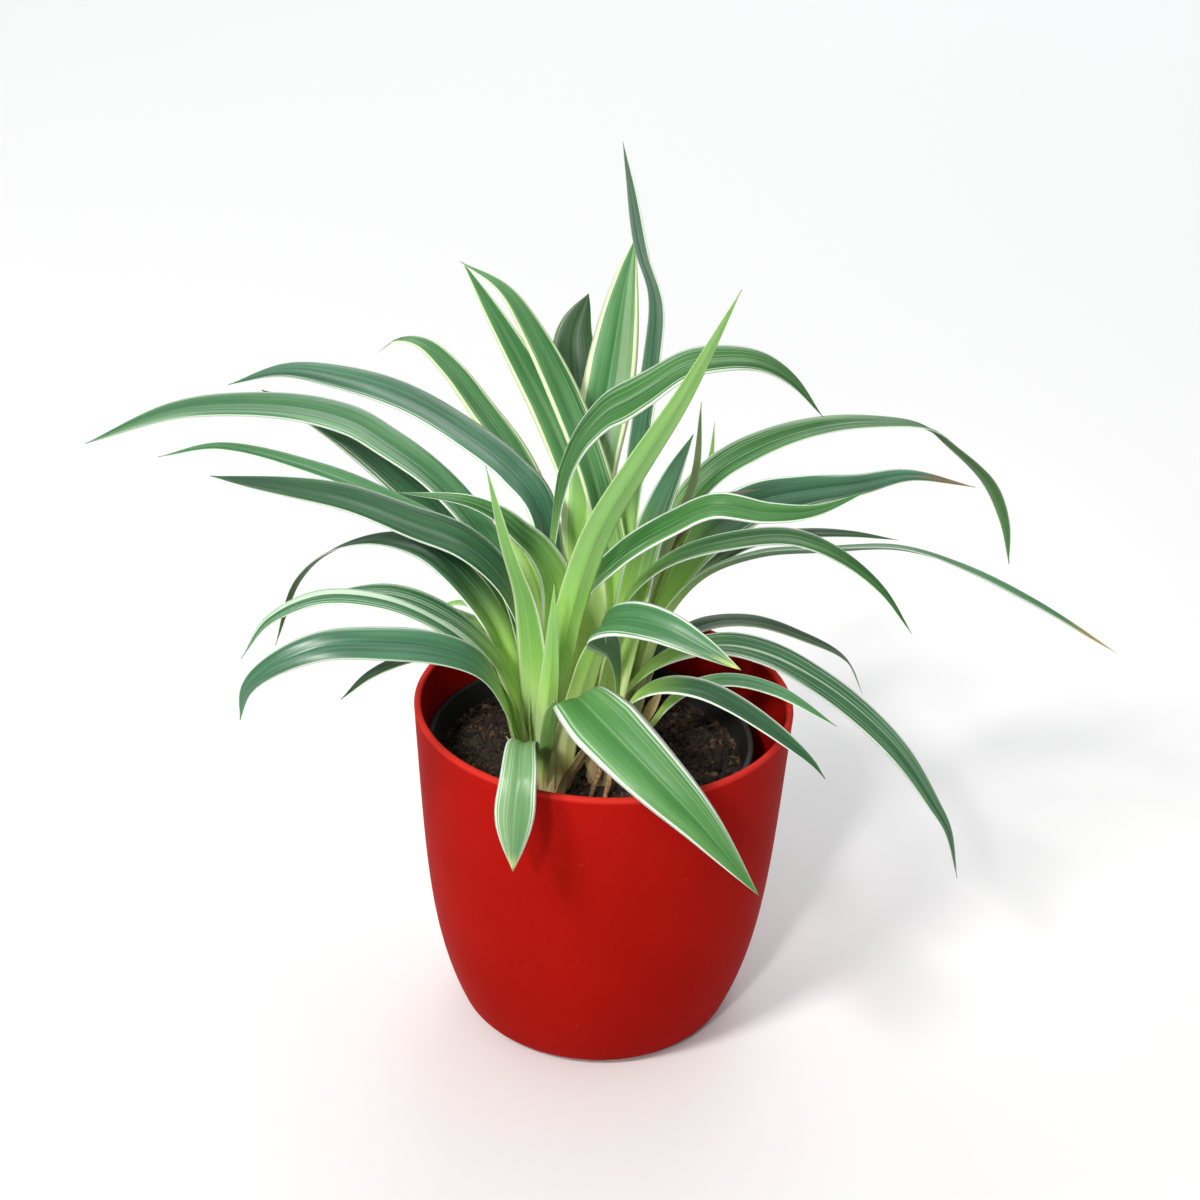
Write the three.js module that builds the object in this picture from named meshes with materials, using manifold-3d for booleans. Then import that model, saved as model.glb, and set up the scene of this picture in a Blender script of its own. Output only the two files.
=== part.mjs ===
// Potted spider plant: three leafy shoots with arching, cream-edged leaves, rooted in
// peat in a black nursery pot that stands loose inside a red cover pot.
// Millimetres, +Z up, origin at the centre of the cover pot's underside.
// -Y is the front, the side that the plant is looked at from.

import * as THREE from 'three';
import { mergeVertices } from 'three/addons/utils/BufferGeometryUtils.js';
import Module from 'manifold-3d';

const wasm = await Module();
wasm.setup();

// ---------------------------------------------------------------- driving dimensions

const GAP = 0.3; // air between pieces that rest on each other
const POT_SIDES = 48;

const COVER = {
  rimRadius: 70,
  height: 130,
  taper: 7.6, // how far the wall leans in from rim to foot
  curl: 12, // extra pull-in of the rounded lower part
  curlPower: 4.6,
  wall: 2.6,
  floor: 3,
  footFillet: 8,
  footAngle: 23, // degrees that the wall leans out where the fillet meets it
  wallSteps: 8,
};

const NURSERY = {
  centre: [-4.5, 1.5], // it stands a little off the cover pot's axis
  rimRadius: 61,
  rimHeight: 112,
  lipDepth: 5,
  lipOverhang: 1.2,
  lipEdge: 0.8, // rounding along the lip's upper and lower edge
  bottomRadius: 40,
  wall: 1.1,
  drainHoles: 6,
  drainRadius: 4,
  drainCircle: 26,
  drainSides: 10,
};
NURSERY.bottom = COVER.floor + GAP;
NURSERY.floorTop = NURSERY.bottom + NURSERY.wall;

const SOIL = {
  surface: 103.5,
  relief: 0.9, // height of the uneven peat
  lumpX: 0.23, // radians of the peat's waves per millimetre
  lumpY: 0.19,
  fineShare: 0.5,
  rings: 5,
  sides: 24,
};

const BLADE = {
  thickness: 0.8,
  rootShare: 0.5, // width of a leaf at its root, as a share of its full width
  fullAt: 0.42, // share of the length where the leaf reaches its full width
  risePower: 1.2, // how the leaf widens from its root
  taperFrom: 0.5, // share of the length where it starts to narrow
  taperPower: 2.7, // the higher, the later it narrows to its tip
  fold: 0.45, // how deeply the leaf is channelled at its root
  foldPower: 1.6, // how soon the channel flattens out
  tipWidth: 0.8,
  step: 21, // length of one facet along the leaf
  minSteps: 5,
};

// Each crown is a short fleshy stem: centre, half width, half depth, top height.
const CROWNS = {
  left: { centre: [-19, -21], radii: [8.5, 6.5], top: 121 },
  right: { centre: [1, -14], radii: [8, 7], top: 118 },
  back: { centre: [9, 11], radii: [7.5, 7], top: 118 },
};
const CROWN_BOTTOM = 92;
const CROWN_SIDES = 14;
const NECK_SHARE = 0.62; // width of a crown at its top, as a share of its width in the soil
const LEAF_ROOT = 109; // height inside the crown where every leaf starts
const ROOT_SPREAD = 0.3; // how far a root moves from the crown's centre to its leaf

// Leaves, shoot by shoot. facing is the heading in degrees that a leaf arches towards,
// rolls its turn about its midrib at root, middle and tip, and midrib the points that
// the midrib passes on its way out from the crown.
const LEAVES = {
  left: [
    { name: 'long', width: 17, facing: 180, rolls: [-5, -12, -24], midrib: [
      [-24, -16, 128], [-28, -10, 158], [-35, -3, 177], [-47, 4, 195], [-64, 12, 211],
      [-82, 18, 222], [-93, 22, 227], [-111, 26, 230], [-135, 28, 230], [-159, 27, 227],
      [-190, 23, 215]] },
    { name: 'high', width: 18, facing: 175, rolls: [-5, -10, -22], midrib: [
      [-23, -12, 126], [-21, 0, 170], [-26, 12, 201], [-37, 22, 211], [-56, 33, 221],
      [-78, 43, 229], [-101, 50, 233], [-122, 53, 234], [-143, 54, 227]] },
    { name: 'mid', width: 20, facing: 170, rolls: [-10, -25, -36], midrib: [
      [-27, -8, 122], [-30, 4, 144], [-39, 14, 165], [-57, 24, 187], [-78, 34, 204],
      [-99, 42, 216], [-130, 50, 227]] },
    { name: 'thin', width: 9, facing: 185, rolls: [0, -12, -20], midrib: [
      [-27, -18, 127], [-31, -12, 153], [-40, -6, 180], [-57, 0, 196], [-79, 6, 205],
      [-102, 12, 212], [-140, 18, 218], [-163, 18, 213]] },
    { name: 'broad', width: 15, facing: 190, rolls: [-10, -28, -25], midrib: [
      [-27, -24, 130], [-28, -28, 165], [-37, -30, 193], [-50, -30, 206], [-68, -27, 212],
      [-91, -22, 218], [-139, -10, 219]] },
    { name: 'curl', width: 11, facing: 190, rolls: [-20, -40, -50],
      shape: { taperPower: 1.1 }, midrib: [
      [-20, -16, 127], [-14, -18, 162], [-16, -23, 187], [-23, -27, 203], [-35, -30, 218],
      [-47, -32, 224], [-73, -29, 224]] },
    { name: 'spike', width: 10, facing: 235, rolls: [0, 0, 0],
      shape: { rootShare: 1.1, taperFrom: 0.3, taperPower: 1.6, fold: 0.75 }, midrib: [
      [-24, -24, 123], [-25, -34, 152], [-30, -44, 192], [-35, -49, 214], [-41, -54, 246]] },
    { name: 'small', width: 8, facing: 200, rolls: [0, -10, -20], midrib: [
      [-25, -12, 128], [-29, 3, 163], [-39, 11, 189], [-50, 16, 210]] },
    { name: 'droop', width: 13, facing: 178, rolls: [-45, 16, 45], midrib: [
      [-29, -14, 120], [-33, -14, 142], [-39, -12, 162], [-50, -8, 178], [-65, -2, 189],
      [-81, 4, 190], [-99, 8, 183], [-113, 10, 169], [-122, 8, 143]] },
    { name: 'low_front', width: 8, facing: 198, rolls: [-10, -20, -26], midrib: [
      [-30, -28, 124], [-35, -40, 149], [-43, -50, 172], [-56, -57, 188], [-74, -62, 199],
      [-95, -64, 201], [-112, -64, 192], [-122, -62, 176]] },
    { name: 'low_rear', width: 9, facing: 186, rolls: [-10, -20, -30], midrib: [
      [-27, -22, 123], [-33, -28, 149], [-42, -32, 167], [-56, -34, 181], [-75, -35, 189],
      [-106, -32, 183]] },
    { name: 'low_wide', width: 13, facing: 206, rolls: [-10, -34, -40], midrib: [
      [-31, -30, 124], [-35, -46, 152], [-43, -58, 174], [-55, -66, 184], [-74, -74, 190],
      [-93, -77, 190], [-110, -78, 182], [-118, -77, 173], [-121, -75, 160]] },
    { name: 'low_dark', width: 10, facing: 208, rolls: [0, 12, 0], midrib: [
      [-29, -22, 118], [-34, -34, 142], [-40, -44, 162], [-50, -52, 174], [-66, -60, 177],
      [-79, -63, 172], [-89, -63, 162]] },
    { name: 'wisp', width: 5, facing: 195, rolls: [0, -10, 0], midrib: [
      [-28, -6, 121], [-34, 2, 140], [-43, 8, 154], [-53, 12, 161], [-69, 16, 153]] },
    { name: 'shade', width: 11, facing: 160, rolls: [-10, -20, -30], midrib: [
      [-29, 2, 114], [-35, 14, 128], [-43, 24, 139], [-68, 42, 146]] },
    { name: 'light', width: 14, facing: 140, rolls: [10, 10, -10], midrib: [
      [-21, -6, 126], [-20, 12, 164], [-27, 32, 191], [-36, 42, 207], [-49, 51, 222],
      [-61, 58, 235], [-72, 62, 243], [-81, 64, 243], [-89, 65, 237]] },
    { name: 'arch', width: 14, facing: 345, rolls: [70, 62, 8], shape: { rootShare: 0.4 }, midrib: [
      [-23, -24, 131], [-21, -28, 194], [-19, -31, 212], [-13, -33, 229], [-5, -36, 248],
      [0, -37, 261], [11, -36, 270], [22, -34, 275], [34, -31, 277], [47, -28, 274],
      [58, -25, 268], [70, -21, 253]] },
    { name: 'bright', width: 11, facing: 280, rolls: [0, 0, 0],
      shape: { rootShare: 1.0, taperPower: 1.9, fold: 0.55 }, midrib: [
      [-18, -22, 123], [-15, -34, 168], [-10, -42, 198], [-3, -50, 224], [9, -58, 251],
      [21, -64, 276], [37, -70, 314]] },
    { name: 'wave', width: 12, facing: 335, rolls: [30, 48, 34],
      shape: { rootShare: 0.3, fullAt: 0.7 }, midrib: [
      [-16, -22, 124], [-13, -22, 159], [-9, -26, 184], [4, -37, 207], [21, -48, 225],
      [34, -53, 234], [51, -55, 233], [67, -54, 234], [83, -53, 241]] },
    { name: 'young', width: 9, facing: 260, rolls: [0, 0, 0],
      shape: { rootShare: 1.0, taperFrom: 0.3, taperPower: 1.6, fold: 0.8 }, midrib: [
      [-21, -30, 131], [-19, -43, 165], [-18, -54, 204]] },
    { name: 'hang', width: 14, facing: 265, rolls: [0, 0, 0], shape: { fullAt: 0.7 }, midrib: [
      [-24, -26, 115], [-26, -42, 133], [-28, -60, 144], [-28, -76, 143], [-29, -84, 129],
      [-29, -88, 112]] },
    { name: 'low_back', width: 13, facing: 140, rolls: [0, 0, 0], midrib: [
      [-27, 6, 117], [-31, 22, 137], [-39, 42, 145], [-63, 80, 142]] },
    { name: 'far_back', width: 14, facing: 112, rolls: [0, 0, 0], midrib: [
      [-24, 8, 116], [-23, 30, 137], [-23, 55, 141], [-24, 82, 131], [-26, 108, 113]] },
  ],
  right: [
    { name: 'broad', width: 22, facing: 288, rolls: [0, 0, 0],
      shape: { rootShare: 0.3, fullAt: 0.56, taperFrom: 0.55, taperPower: 1.6, fold: 0.12 }, midrib: [
      [1, -24, 119], [-3, -38, 141], [-9, -53, 159], [0, -73, 161], [16, -88, 153],
      [33, -97, 139], [53, -103, 116]] },
    { name: 'fold', width: 17, facing: 300, rolls: [0, 34, 40],
      shape: { rootShare: 0.35, fullAt: 0.55, fold: 0.3 }, midrib: [
      [2, -16, 120], [1, -26, 148], [-2, -38, 169], [-2, -48, 185], [6, -57, 193],
      [18, -65, 195], [31, -72, 192], [44, -78, 187]] },
    { name: 'low_near', width: 9, facing: 330, rolls: [10, 20, 26], midrib: [
      [1, -16, 120], [7, -24, 136], [13, -32, 150], [22, -39, 158], [34, -45, 160],
      [45, -49, 157], [59, -54, 150], [72, -57, 140], [77, -58, 134]] },
    { name: 'low_far', width: 7, facing: 345, rolls: [10, 20, 20], midrib: [
      [4, -12, 110], [12, -14, 117], [18, -16, 128], [24, -18, 139], [32, -20, 147],
      [45, -23, 152], [61, -26, 150], [83, -29, 138]] },
    { name: 'long_low', width: 12, facing: 345, rolls: [0, 22, 36],
      shape: { taperPower: 1.9 }, midrib: [
      [1, -8, 117], [9, -4, 134], [21, -1, 146], [41, 2, 152], [59, 2, 149], [79, 0, 139],
      [96, -3, 127], [111, -7, 113], [124, -11, 95], [130, -13, 85], [135, -16, 66]] },
    { name: 'arch', width: 10, facing: 350, rolls: [10, 6, 14], midrib: [
      [-1, -14, 121], [2, -18, 156], [10, -22, 185], [23, -25, 200], [43, -28, 209],
      [62, -30, 212], [78, -32, 207], [93, -34, 196], [105, -36, 180]] },
    { name: 'sword', width: 13, facing: 60, rolls: [0, 0, 0], midrib: [
      [3, -12, 125], [8, -13, 169], [14, -15, 205], [20, -17, 226], [27, -18, 244]] },
  ],
  back: [
    { name: 'high', width: 14, facing: 10, rolls: [10, 8, -45], midrib: [
      [5, 8, 121], [12, 14, 164], [23, 20, 191], [38, 26, 210], [56, 31, 220], [77, 35, 226],
      [97, 38, 227], [114, 39, 225], [124, 39, 218], [139, 37, 205], [146, 34, 191],
      [149, 31, 175]] },
    { name: 'broad', width: 17, facing: 20, rolls: [20, 44, 30],
      shape: { taperPower: 1.7 }, midrib: [
      [7, 16, 115], [18, 28, 152], [34, 42, 174], [55, 56, 185], [75, 66, 186], [96, 74, 186],
      [116, 80, 188], [143, 84, 182]] },
    { name: 'thin', width: 7, facing: 30, rolls: [0, 20, 20], midrib: [
      [8, 24, 107], [22, 40, 147], [49, 58, 165], [75, 72, 165], [95, 82, 161],
      [116, 90, 155]] },
    { name: 'needle', width: 6, facing: 310, rolls: [0, 0, 0], midrib: [
      [7, 8, 121], [14, 6, 166], [22, 4, 195], [29, 3, 218], [30, 1, 248]] },
    { name: 'pale', width: 8, facing: 30, rolls: [0, 0, 0], midrib: [
      [9, 16, 116], [18, 22, 160], [29, 32, 188], [36, 37, 209], [37, 39, 225]] },
    { name: 'dark', width: 10, facing: 25, rolls: [0, 6, 16], midrib: [
      [12, 22, 119], [20, 34, 130], [36, 44, 137], [56, 54, 135], [77, 62, 125], [96, 66, 113],
      [105, 68, 95]] },
    { name: 'up_front', width: 14, facing: 130, rolls: [0, 0, 0], midrib: [
      [1, 4, 125], [2, 14, 167], [-5, 24, 203], [-17, 34, 232], [-29, 42, 254], [-41, 48, 270],
      [-57, 53, 278]] },
    { name: 'up_rear', width: 13, facing: 120, rolls: [0, 0, 0], midrib: [
      [3, 14, 119], [0, 31, 159], [-10, 47, 186], [-22, 58, 213], [-36, 70, 235],
      [-58, 84, 267]] },
    { name: 'lean', width: 17, facing: 95, rolls: [0, 0, 0], shape: { taperPower: 3.6 }, midrib: [
      [1, 22, 118], [-4, 44, 152], [-9, 68, 191], [-14, 84, 217], [-16, 95, 236],
      [-11, 102, 250]] },
    { name: 'sunlit', width: 20, facing: 88, rolls: [0, 0, 0], midrib: [
      [1, 16, 118], [-7, 26, 161], [-8, 43, 198], [-3, 57, 224], [3, 73, 266], [6, 78, 281]] },
    { name: 'tallest', width: 15, facing: 25, rolls: [0, 0, 0], midrib: [
      [4, 10, 121], [8, 20, 160], [10, 28, 209], [14, 34, 250], [14, 36, 272], [8, 39, 289],
      [3, 43, 313], [0, 45, 326]] },
    { name: 'reach', width: 12, facing: 5, rolls: [-30, -22, 15], shape: { fold: 0.95 }, midrib: [
      [14, 7, 125], [18, 9, 145], [24, 12, 160], [36, 20, 171], [56, 28, 176], [81, 36, 175],
      [110, 42, 174], [135, 44, 166], [164, 44, 152], [197, 42, 133]] },
    { name: 'brown', width: 8, facing: 15, rolls: [0, 20, 10], midrib: [
      [11, 14, 125], [15, 16, 161], [25, 28, 185], [39, 38, 194], [56, 45, 196]] },
    { name: 'low_far', width: 14, facing: 75, rolls: [0, 0, 0], midrib: [
      [8, 26, 121], [9, 48, 141], [11, 74, 147], [11, 98, 137], [10, 120, 116]] },
    { name: 'low_right', width: 13, facing: 50, rolls: [0, 0, 0], midrib: [
      [13, 24, 119], [20, 44, 139], [31, 66, 145], [41, 86, 137], [49, 102, 121]] },
  ],
};

// ---------------------------------------------------------------- finishes

const finish = (color, roughness) => new THREE.MeshStandardMaterial({ color, roughness, metalness: 0 });

const RED_PLASTIC = finish('#b8201c', 0.45);
const BLACK_PLASTIC = finish('#1c1d1f', 0.6);
const PEAT = finish('#33241b', 0.95);
const LEAF_GREEN = finish('#4c7a4a', 0.5);

// ---------------------------------------------------------------- solids and meshes

/** A closed three.js geometry as a solid that can be joined and cut. */
function toSolid(geometry) {
  geometry.deleteAttribute('normal');
  geometry.deleteAttribute('uv');
  const merged = mergeVertices(geometry, 1e-4);
  return new wasm.Manifold(new wasm.Mesh({
    numProp: 3,
    vertProperties: new Float32Array(merged.attributes.position.array),
    triVerts: new Uint32Array(merged.index.array),
  }));
}

/** A solid as a named mesh. */
function toMesh(name, solid, material) {
  const { vertProperties, triVerts } = solid.getMesh();
  const geometry = new THREE.BufferGeometry();
  geometry.setAttribute('position', new THREE.BufferAttribute(vertProperties, 3));
  geometry.setIndex(new THREE.BufferAttribute(triVerts, 1));
  geometry.computeVertexNormals();
  const mesh = new THREE.Mesh(geometry, material);
  mesh.name = name;
  return mesh;
}

/** A profile of [radius, height] points, from axis to axis, turned about Z. */
function turned(profile, sides = POT_SIDES) {
  const points = profile.map(([r, z]) => new THREE.Vector2(r, z));
  return toSolid(new THREE.LatheGeometry(points, sides).rotateX(Math.PI / 2));
}

/** An upright oval post between two heights, its top narrowed to topShare. */
function post([x, y], [radiusX, radiusY], bottom, top, sides, topShare = 1) {
  const shape = new THREE.CylinderGeometry(topShare, 1, top - bottom, sides).rotateX(Math.PI / 2);
  return toSolid(shape.scale(radiusX, radiusY, 1).translate(x, y, (bottom + top) / 2));
}

/** [radius, height] points of an arc, angles in degrees. */
function arc(centreR, centreZ, radius, from, to, steps) {
  return Array.from({ length: steps + 1 }, (_, i) => {
    const angle = THREE.MathUtils.degToRad(from + (to - from) * i / steps);
    return [centreR + radius * Math.cos(angle), centreZ + radius * Math.sin(angle)];
  });
}

// ---------------------------------------------------------------- cover pot

/** Outside radius of the cover pot: nearly straight above, rounded in below. */
function coverRadius(z) {
  const down = 1 - z / COVER.height;
  return COVER.rimRadius - COVER.taper * down - COVER.curl * down ** COVER.curlPower;
}

function makeCoverPot() {
  const { wall, floor, height, footFillet, footAngle, wallSteps } = COVER;
  const lean = THREE.MathUtils.degToRad(footAngle);
  const joinHeight = (fillet) => fillet * (1 - Math.sin(lean));

  const outerJoin = joinHeight(footFillet);
  const outerFoot = coverRadius(outerJoin) - footFillet * Math.cos(lean);
  const innerFillet = footFillet - wall;
  const innerJoin = floor + joinHeight(innerFillet);
  const innerFoot = coverRadius(innerJoin) - wall - innerFillet * Math.cos(lean);

  const lip = wall / 2;
  const lipHeight = height - lip;
  const climb = (from, inset) => Array.from({ length: wallSteps }, (_, i) => {
    const z = from + (lipHeight - from) * (i + 1) / (wallSteps + 1);
    return [coverRadius(z) - inset, z];
  });

  return turned([
    [0, 0],
    ...arc(outerFoot, footFillet, footFillet, -90, -footAngle, 4),
    ...climb(outerJoin, 0),
    ...arc(coverRadius(lipHeight) - lip, lipHeight, lip, 0, 180, 4),
    ...climb(innerJoin, wall).reverse(),
    ...arc(innerFoot, floor + innerFillet, innerFillet, -footAngle, -90, 3),
    [0, floor],
  ]);
}

// ---------------------------------------------------------------- nursery pot

/** Outside radius of the nursery pot's tapered wall. */
function nurseryRadius(z) {
  const { bottomRadius, rimRadius, lipOverhang, rimHeight, bottom } = NURSERY;
  const top = rimRadius - lipOverhang;
  return bottomRadius + (top - bottomRadius) * (z - bottom) / (rimHeight - bottom);
}

function makeNurseryPot() {
  const { centre, rimRadius, rimHeight, lipDepth, lipEdge, wall, bottom, floorTop } = NURSERY;
  const lipBottom = rimHeight - lipDepth;
  const shell = turned([
    [0, bottom],
    [nurseryRadius(bottom), bottom],
    [nurseryRadius(lipBottom), lipBottom],
    [rimRadius - lipEdge, lipBottom],
    [rimRadius, lipBottom + lipEdge],
    [rimRadius, rimHeight - lipEdge],
    [rimRadius - lipEdge, rimHeight],
    [nurseryRadius(rimHeight) - wall, rimHeight],
    [nurseryRadius(floorTop) - wall, floorTop],
    [0, floorTop],
  ]);
  const { drainHoles, drainRadius, drainCircle, drainSides } = NURSERY;
  const drains = Array.from({ length: drainHoles }, (_, i) => {
    const angle = 2 * Math.PI * i / drainHoles;
    const place = [drainCircle * Math.cos(angle), drainCircle * Math.sin(angle)];
    return post(place, [drainRadius, drainRadius], bottom - 1, floorTop + 1, drainSides);
  });
  return shell.subtract(wasm.Manifold.union(drains)).translate([...centre, 0]);
}

// ---------------------------------------------------------------- soil

/** Uneven height of the peat at a point of its surface. */
function peatRelief(x, y) {
  const { relief, lumpX, lumpY, fineShare } = SOIL;
  const lumps = Math.sin(x * lumpX + 1) * Math.cos(y * lumpY);
  const fine = Math.sin(2 * (x * lumpX - y * lumpY));
  return relief * (lumps + fineShare * fine);
}

function makeSoil() {
  const { surface, rings, sides } = SOIL;
  const inside = (z) => nurseryRadius(z) - NURSERY.wall - GAP;
  const bottom = NURSERY.floorTop + GAP;
  const top = Array.from({ length: rings }, (_, i) => [inside(surface) * (1 - (i + 1) / rings), surface]);
  const profile = [[0, bottom], [inside(bottom), bottom], [inside(surface), surface], ...top];
  const points = profile.map(([r, z]) => new THREE.Vector2(r, z));
  const shape = new THREE.LatheGeometry(points, sides).rotateX(Math.PI / 2);
  const position = shape.attributes.position;
  for (let i = 0; i < position.count; i += 1) {
    const [x, y, z] = [position.getX(i), position.getY(i), position.getZ(i)];
    const edge = Math.hypot(x, y) > inside(surface) - 1;
    if (z > surface - 1 && !edge) position.setZ(i, surface + peatRelief(x, y));
  }
  const [dx, dy] = NURSERY.centre;
  const holes = Object.values(CROWNS).map(({ centre, radii: [radiusX, radiusY], top: above }) => (
    post(centre, [radiusX + GAP, radiusY + GAP], CROWN_BOTTOM - GAP, above, CROWN_SIDES)));
  return toSolid(shape.translate(dx, dy, 0)).subtract(wasm.Manifold.union(holes));
}

// ---------------------------------------------------------------- shoots

/** The short stem of a shoot: straight in the soil, drawn in towards the leaves above it. */
function makeCrown({ centre, radii, top }) {
  const buried = post(centre, radii, CROWN_BOTTOM, SOIL.surface, CROWN_SIDES);
  return buried.add(post(centre, radii, SOIL.surface, top, CROWN_SIDES, NECK_SHARE));
}

/** Share of a leaf's full width at a share s of its length. */
function widthShare(s, { rootShare, fullAt, risePower, taperFrom, taperPower }) {
  const rise = rootShare + (1 - rootShare) * Math.min(s / fullAt, 1) ** risePower;
  const past = Math.max(s - taperFrom, 0) / (1 - taperFrom);
  return rise * (1 - past ** taperPower);
}

/** A value that runs from the first to the second to the third number along a leaf. */
function along([first, second, third], s) {
  return s < 0.5 ? first + (second - first) * s * 2 : second + (third - second) * (s * 2 - 1);
}

/** One leaf: a thin channelled blade swept along its midrib. */
function makeLeaf({ width, facing, rolls, midrib, shape = {} }, { centre }) {
  const form = { ...BLADE, ...shape };
  const [cx, cy] = centre;
  const [firstX, firstY] = midrib[0];
  const root = [cx + ROOT_SPREAD * (firstX - cx), cy + ROOT_SPREAD * (firstY - cy), LEAF_ROOT];
  const points = [root, ...midrib].map((p) => new THREE.Vector3(...p));
  const path = new THREE.CatmullRomCurve3(points, false, 'centripetal');
  path.arcLengthDivisions = 400;
  const steps = Math.max(BLADE.minSteps, Math.round(path.getLength() / BLADE.step));

  const heading = THREE.MathUtils.degToRad(facing);
  const level = new THREE.Vector3(-Math.sin(heading), Math.cos(heading), 0);
  const half = BLADE.thickness / 2;
  const positions = [];
  for (let i = 0; i <= steps; i += 1) {
    const s = i / steps;
    const centrePoint = path.getPointAt(s);
    const tangent = path.getTangentAt(s);
    const side = level.clone().addScaledVector(tangent, -level.dot(tangent)).normalize();
    side.applyAxisAngle(tangent, THREE.MathUtils.degToRad(along(rolls, s)));
    const up = new THREE.Vector3().crossVectors(tangent, side);
    const halfWidth = Math.max(width * widthShare(s, form), form.tipWidth) / 2;
    const fold = form.fold * (1 - s) ** form.foldPower;
    const reach = halfWidth * Math.sqrt(1 - fold * fold);
    const lift = halfWidth * fold;
    const section = [[-reach, lift + half], [0, half], [reach, lift + half],
      [reach, lift - half], [0, -half], [-reach, lift - half]];
    for (const [across, rise] of section) {
      const corner = centrePoint.clone().addScaledVector(side, across).addScaledVector(up, rise);
      positions.push(corner.x, corner.y, corner.z);
    }
  }
  return toSolid(bladeGeometry(positions, steps));
}

/** Triangles of a blade of six-cornered sections, split alike on both faces. */
function bladeGeometry(positions, steps) {
  const corners = 6;
  const index = [];
  for (let i = 0; i < steps; i += 1) {
    for (let k = 0; k < corners; k += 1) {
      const next = (k + 1) % corners;
      const [a, b] = [i * corners + k, i * corners + next];
      const [c, d] = [b + corners, a + corners];
      const underside = k >= 3;
      if (underside) index.push(a, d, b, b, d, c);
      else index.push(a, c, b, a, d, c);
    }
  }
  const cap = (start, flip) => {
    const faces = [[0, 1, 4], [0, 4, 5], [1, 2, 3], [1, 3, 4]];
    for (const [a, b, c] of faces) index.push(start + a, start + (flip ? c : b), start + (flip ? b : c));
  };
  cap(0, false);
  cap(steps * corners, true);
  const geometry = new THREE.BufferGeometry();
  geometry.setAttribute('position', new THREE.Float32BufferAttribute(positions, 3));
  geometry.setIndex(index);
  return geometry;
}

/** A whole shoot: crown and leaves grown together into one body. */
function makeShoot(side) {
  const crown = CROWNS[side];
  const leaves = LEAVES[side].map((leaf) => makeLeaf(leaf, crown));
  const grown = wasm.Manifold.union([makeCrown(crown), ...leaves]);
  // Crossing leaves may seal a pocket or pinch off a crumb: only the shoot itself is kept.
  return grown.decompose().sort((a, b) => b.volume() - a.volume())[0];
}

// ---------------------------------------------------------------- the whole plant

const plant = new THREE.Group();
plant.add(
  toMesh('cover_pot', makeCoverPot(), RED_PLASTIC),
  toMesh('nursery_pot', makeNurseryPot(), BLACK_PLASTIC),
  toMesh('soil', makeSoil(), PEAT),
  ...Object.keys(LEAVES).map((side) => toMesh(`shoot_${side}`, makeShoot(side), LEAF_GREEN)),
);

export default plant;
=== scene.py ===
"""A potted spider plant with cream-edged leaves, in a nursery pot set loose in a red cover pot.

Everything is in metres, +Z up, with the origin at the centre of the cover pot's underside and -Y
at the front. Sizes that are easier to read in millimetres are multiplied by MM.
"""

from __future__ import annotations

import logging
import math
from collections.abc import Callable, Iterable, Sequence
from dataclasses import dataclass
from enum import Enum
from functools import reduce
from typing import Any

import bmesh
import bpy
from mathutils import Matrix, Vector, noise


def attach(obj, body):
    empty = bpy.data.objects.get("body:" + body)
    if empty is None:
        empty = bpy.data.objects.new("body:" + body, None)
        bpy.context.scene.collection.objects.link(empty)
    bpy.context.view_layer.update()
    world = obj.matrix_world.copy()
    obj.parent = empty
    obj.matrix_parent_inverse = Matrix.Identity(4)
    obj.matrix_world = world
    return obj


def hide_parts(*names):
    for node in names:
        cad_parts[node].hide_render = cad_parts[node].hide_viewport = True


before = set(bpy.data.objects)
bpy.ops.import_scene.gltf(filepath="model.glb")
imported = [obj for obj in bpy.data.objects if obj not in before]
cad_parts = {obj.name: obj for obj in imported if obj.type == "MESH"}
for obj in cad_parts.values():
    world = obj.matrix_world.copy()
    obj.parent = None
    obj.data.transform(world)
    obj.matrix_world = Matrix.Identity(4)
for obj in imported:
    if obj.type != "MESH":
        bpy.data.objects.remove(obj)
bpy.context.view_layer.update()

LOG = logging.getLogger("potted_plant")
MM = 0.001
Colour = tuple[float, float, float, float]


def srgb(red: int, green: int, blue: int) -> Colour:
    """Turns a screen colour into the linear colour that a shader takes.

    Args:
        red: Red, 0 to 255.
        green: Green, 0 to 255.
        blue: Blue, 0 to 255.

    Returns:
        The linear colour with an alpha of 1.
    """
    linear = [((part / 255 + 0.055) / 1.055) ** 2.4 for part in (red, green, blue)]
    return (*linear, 1.0)


# ---------------------------------------------------------------- node trees


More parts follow.
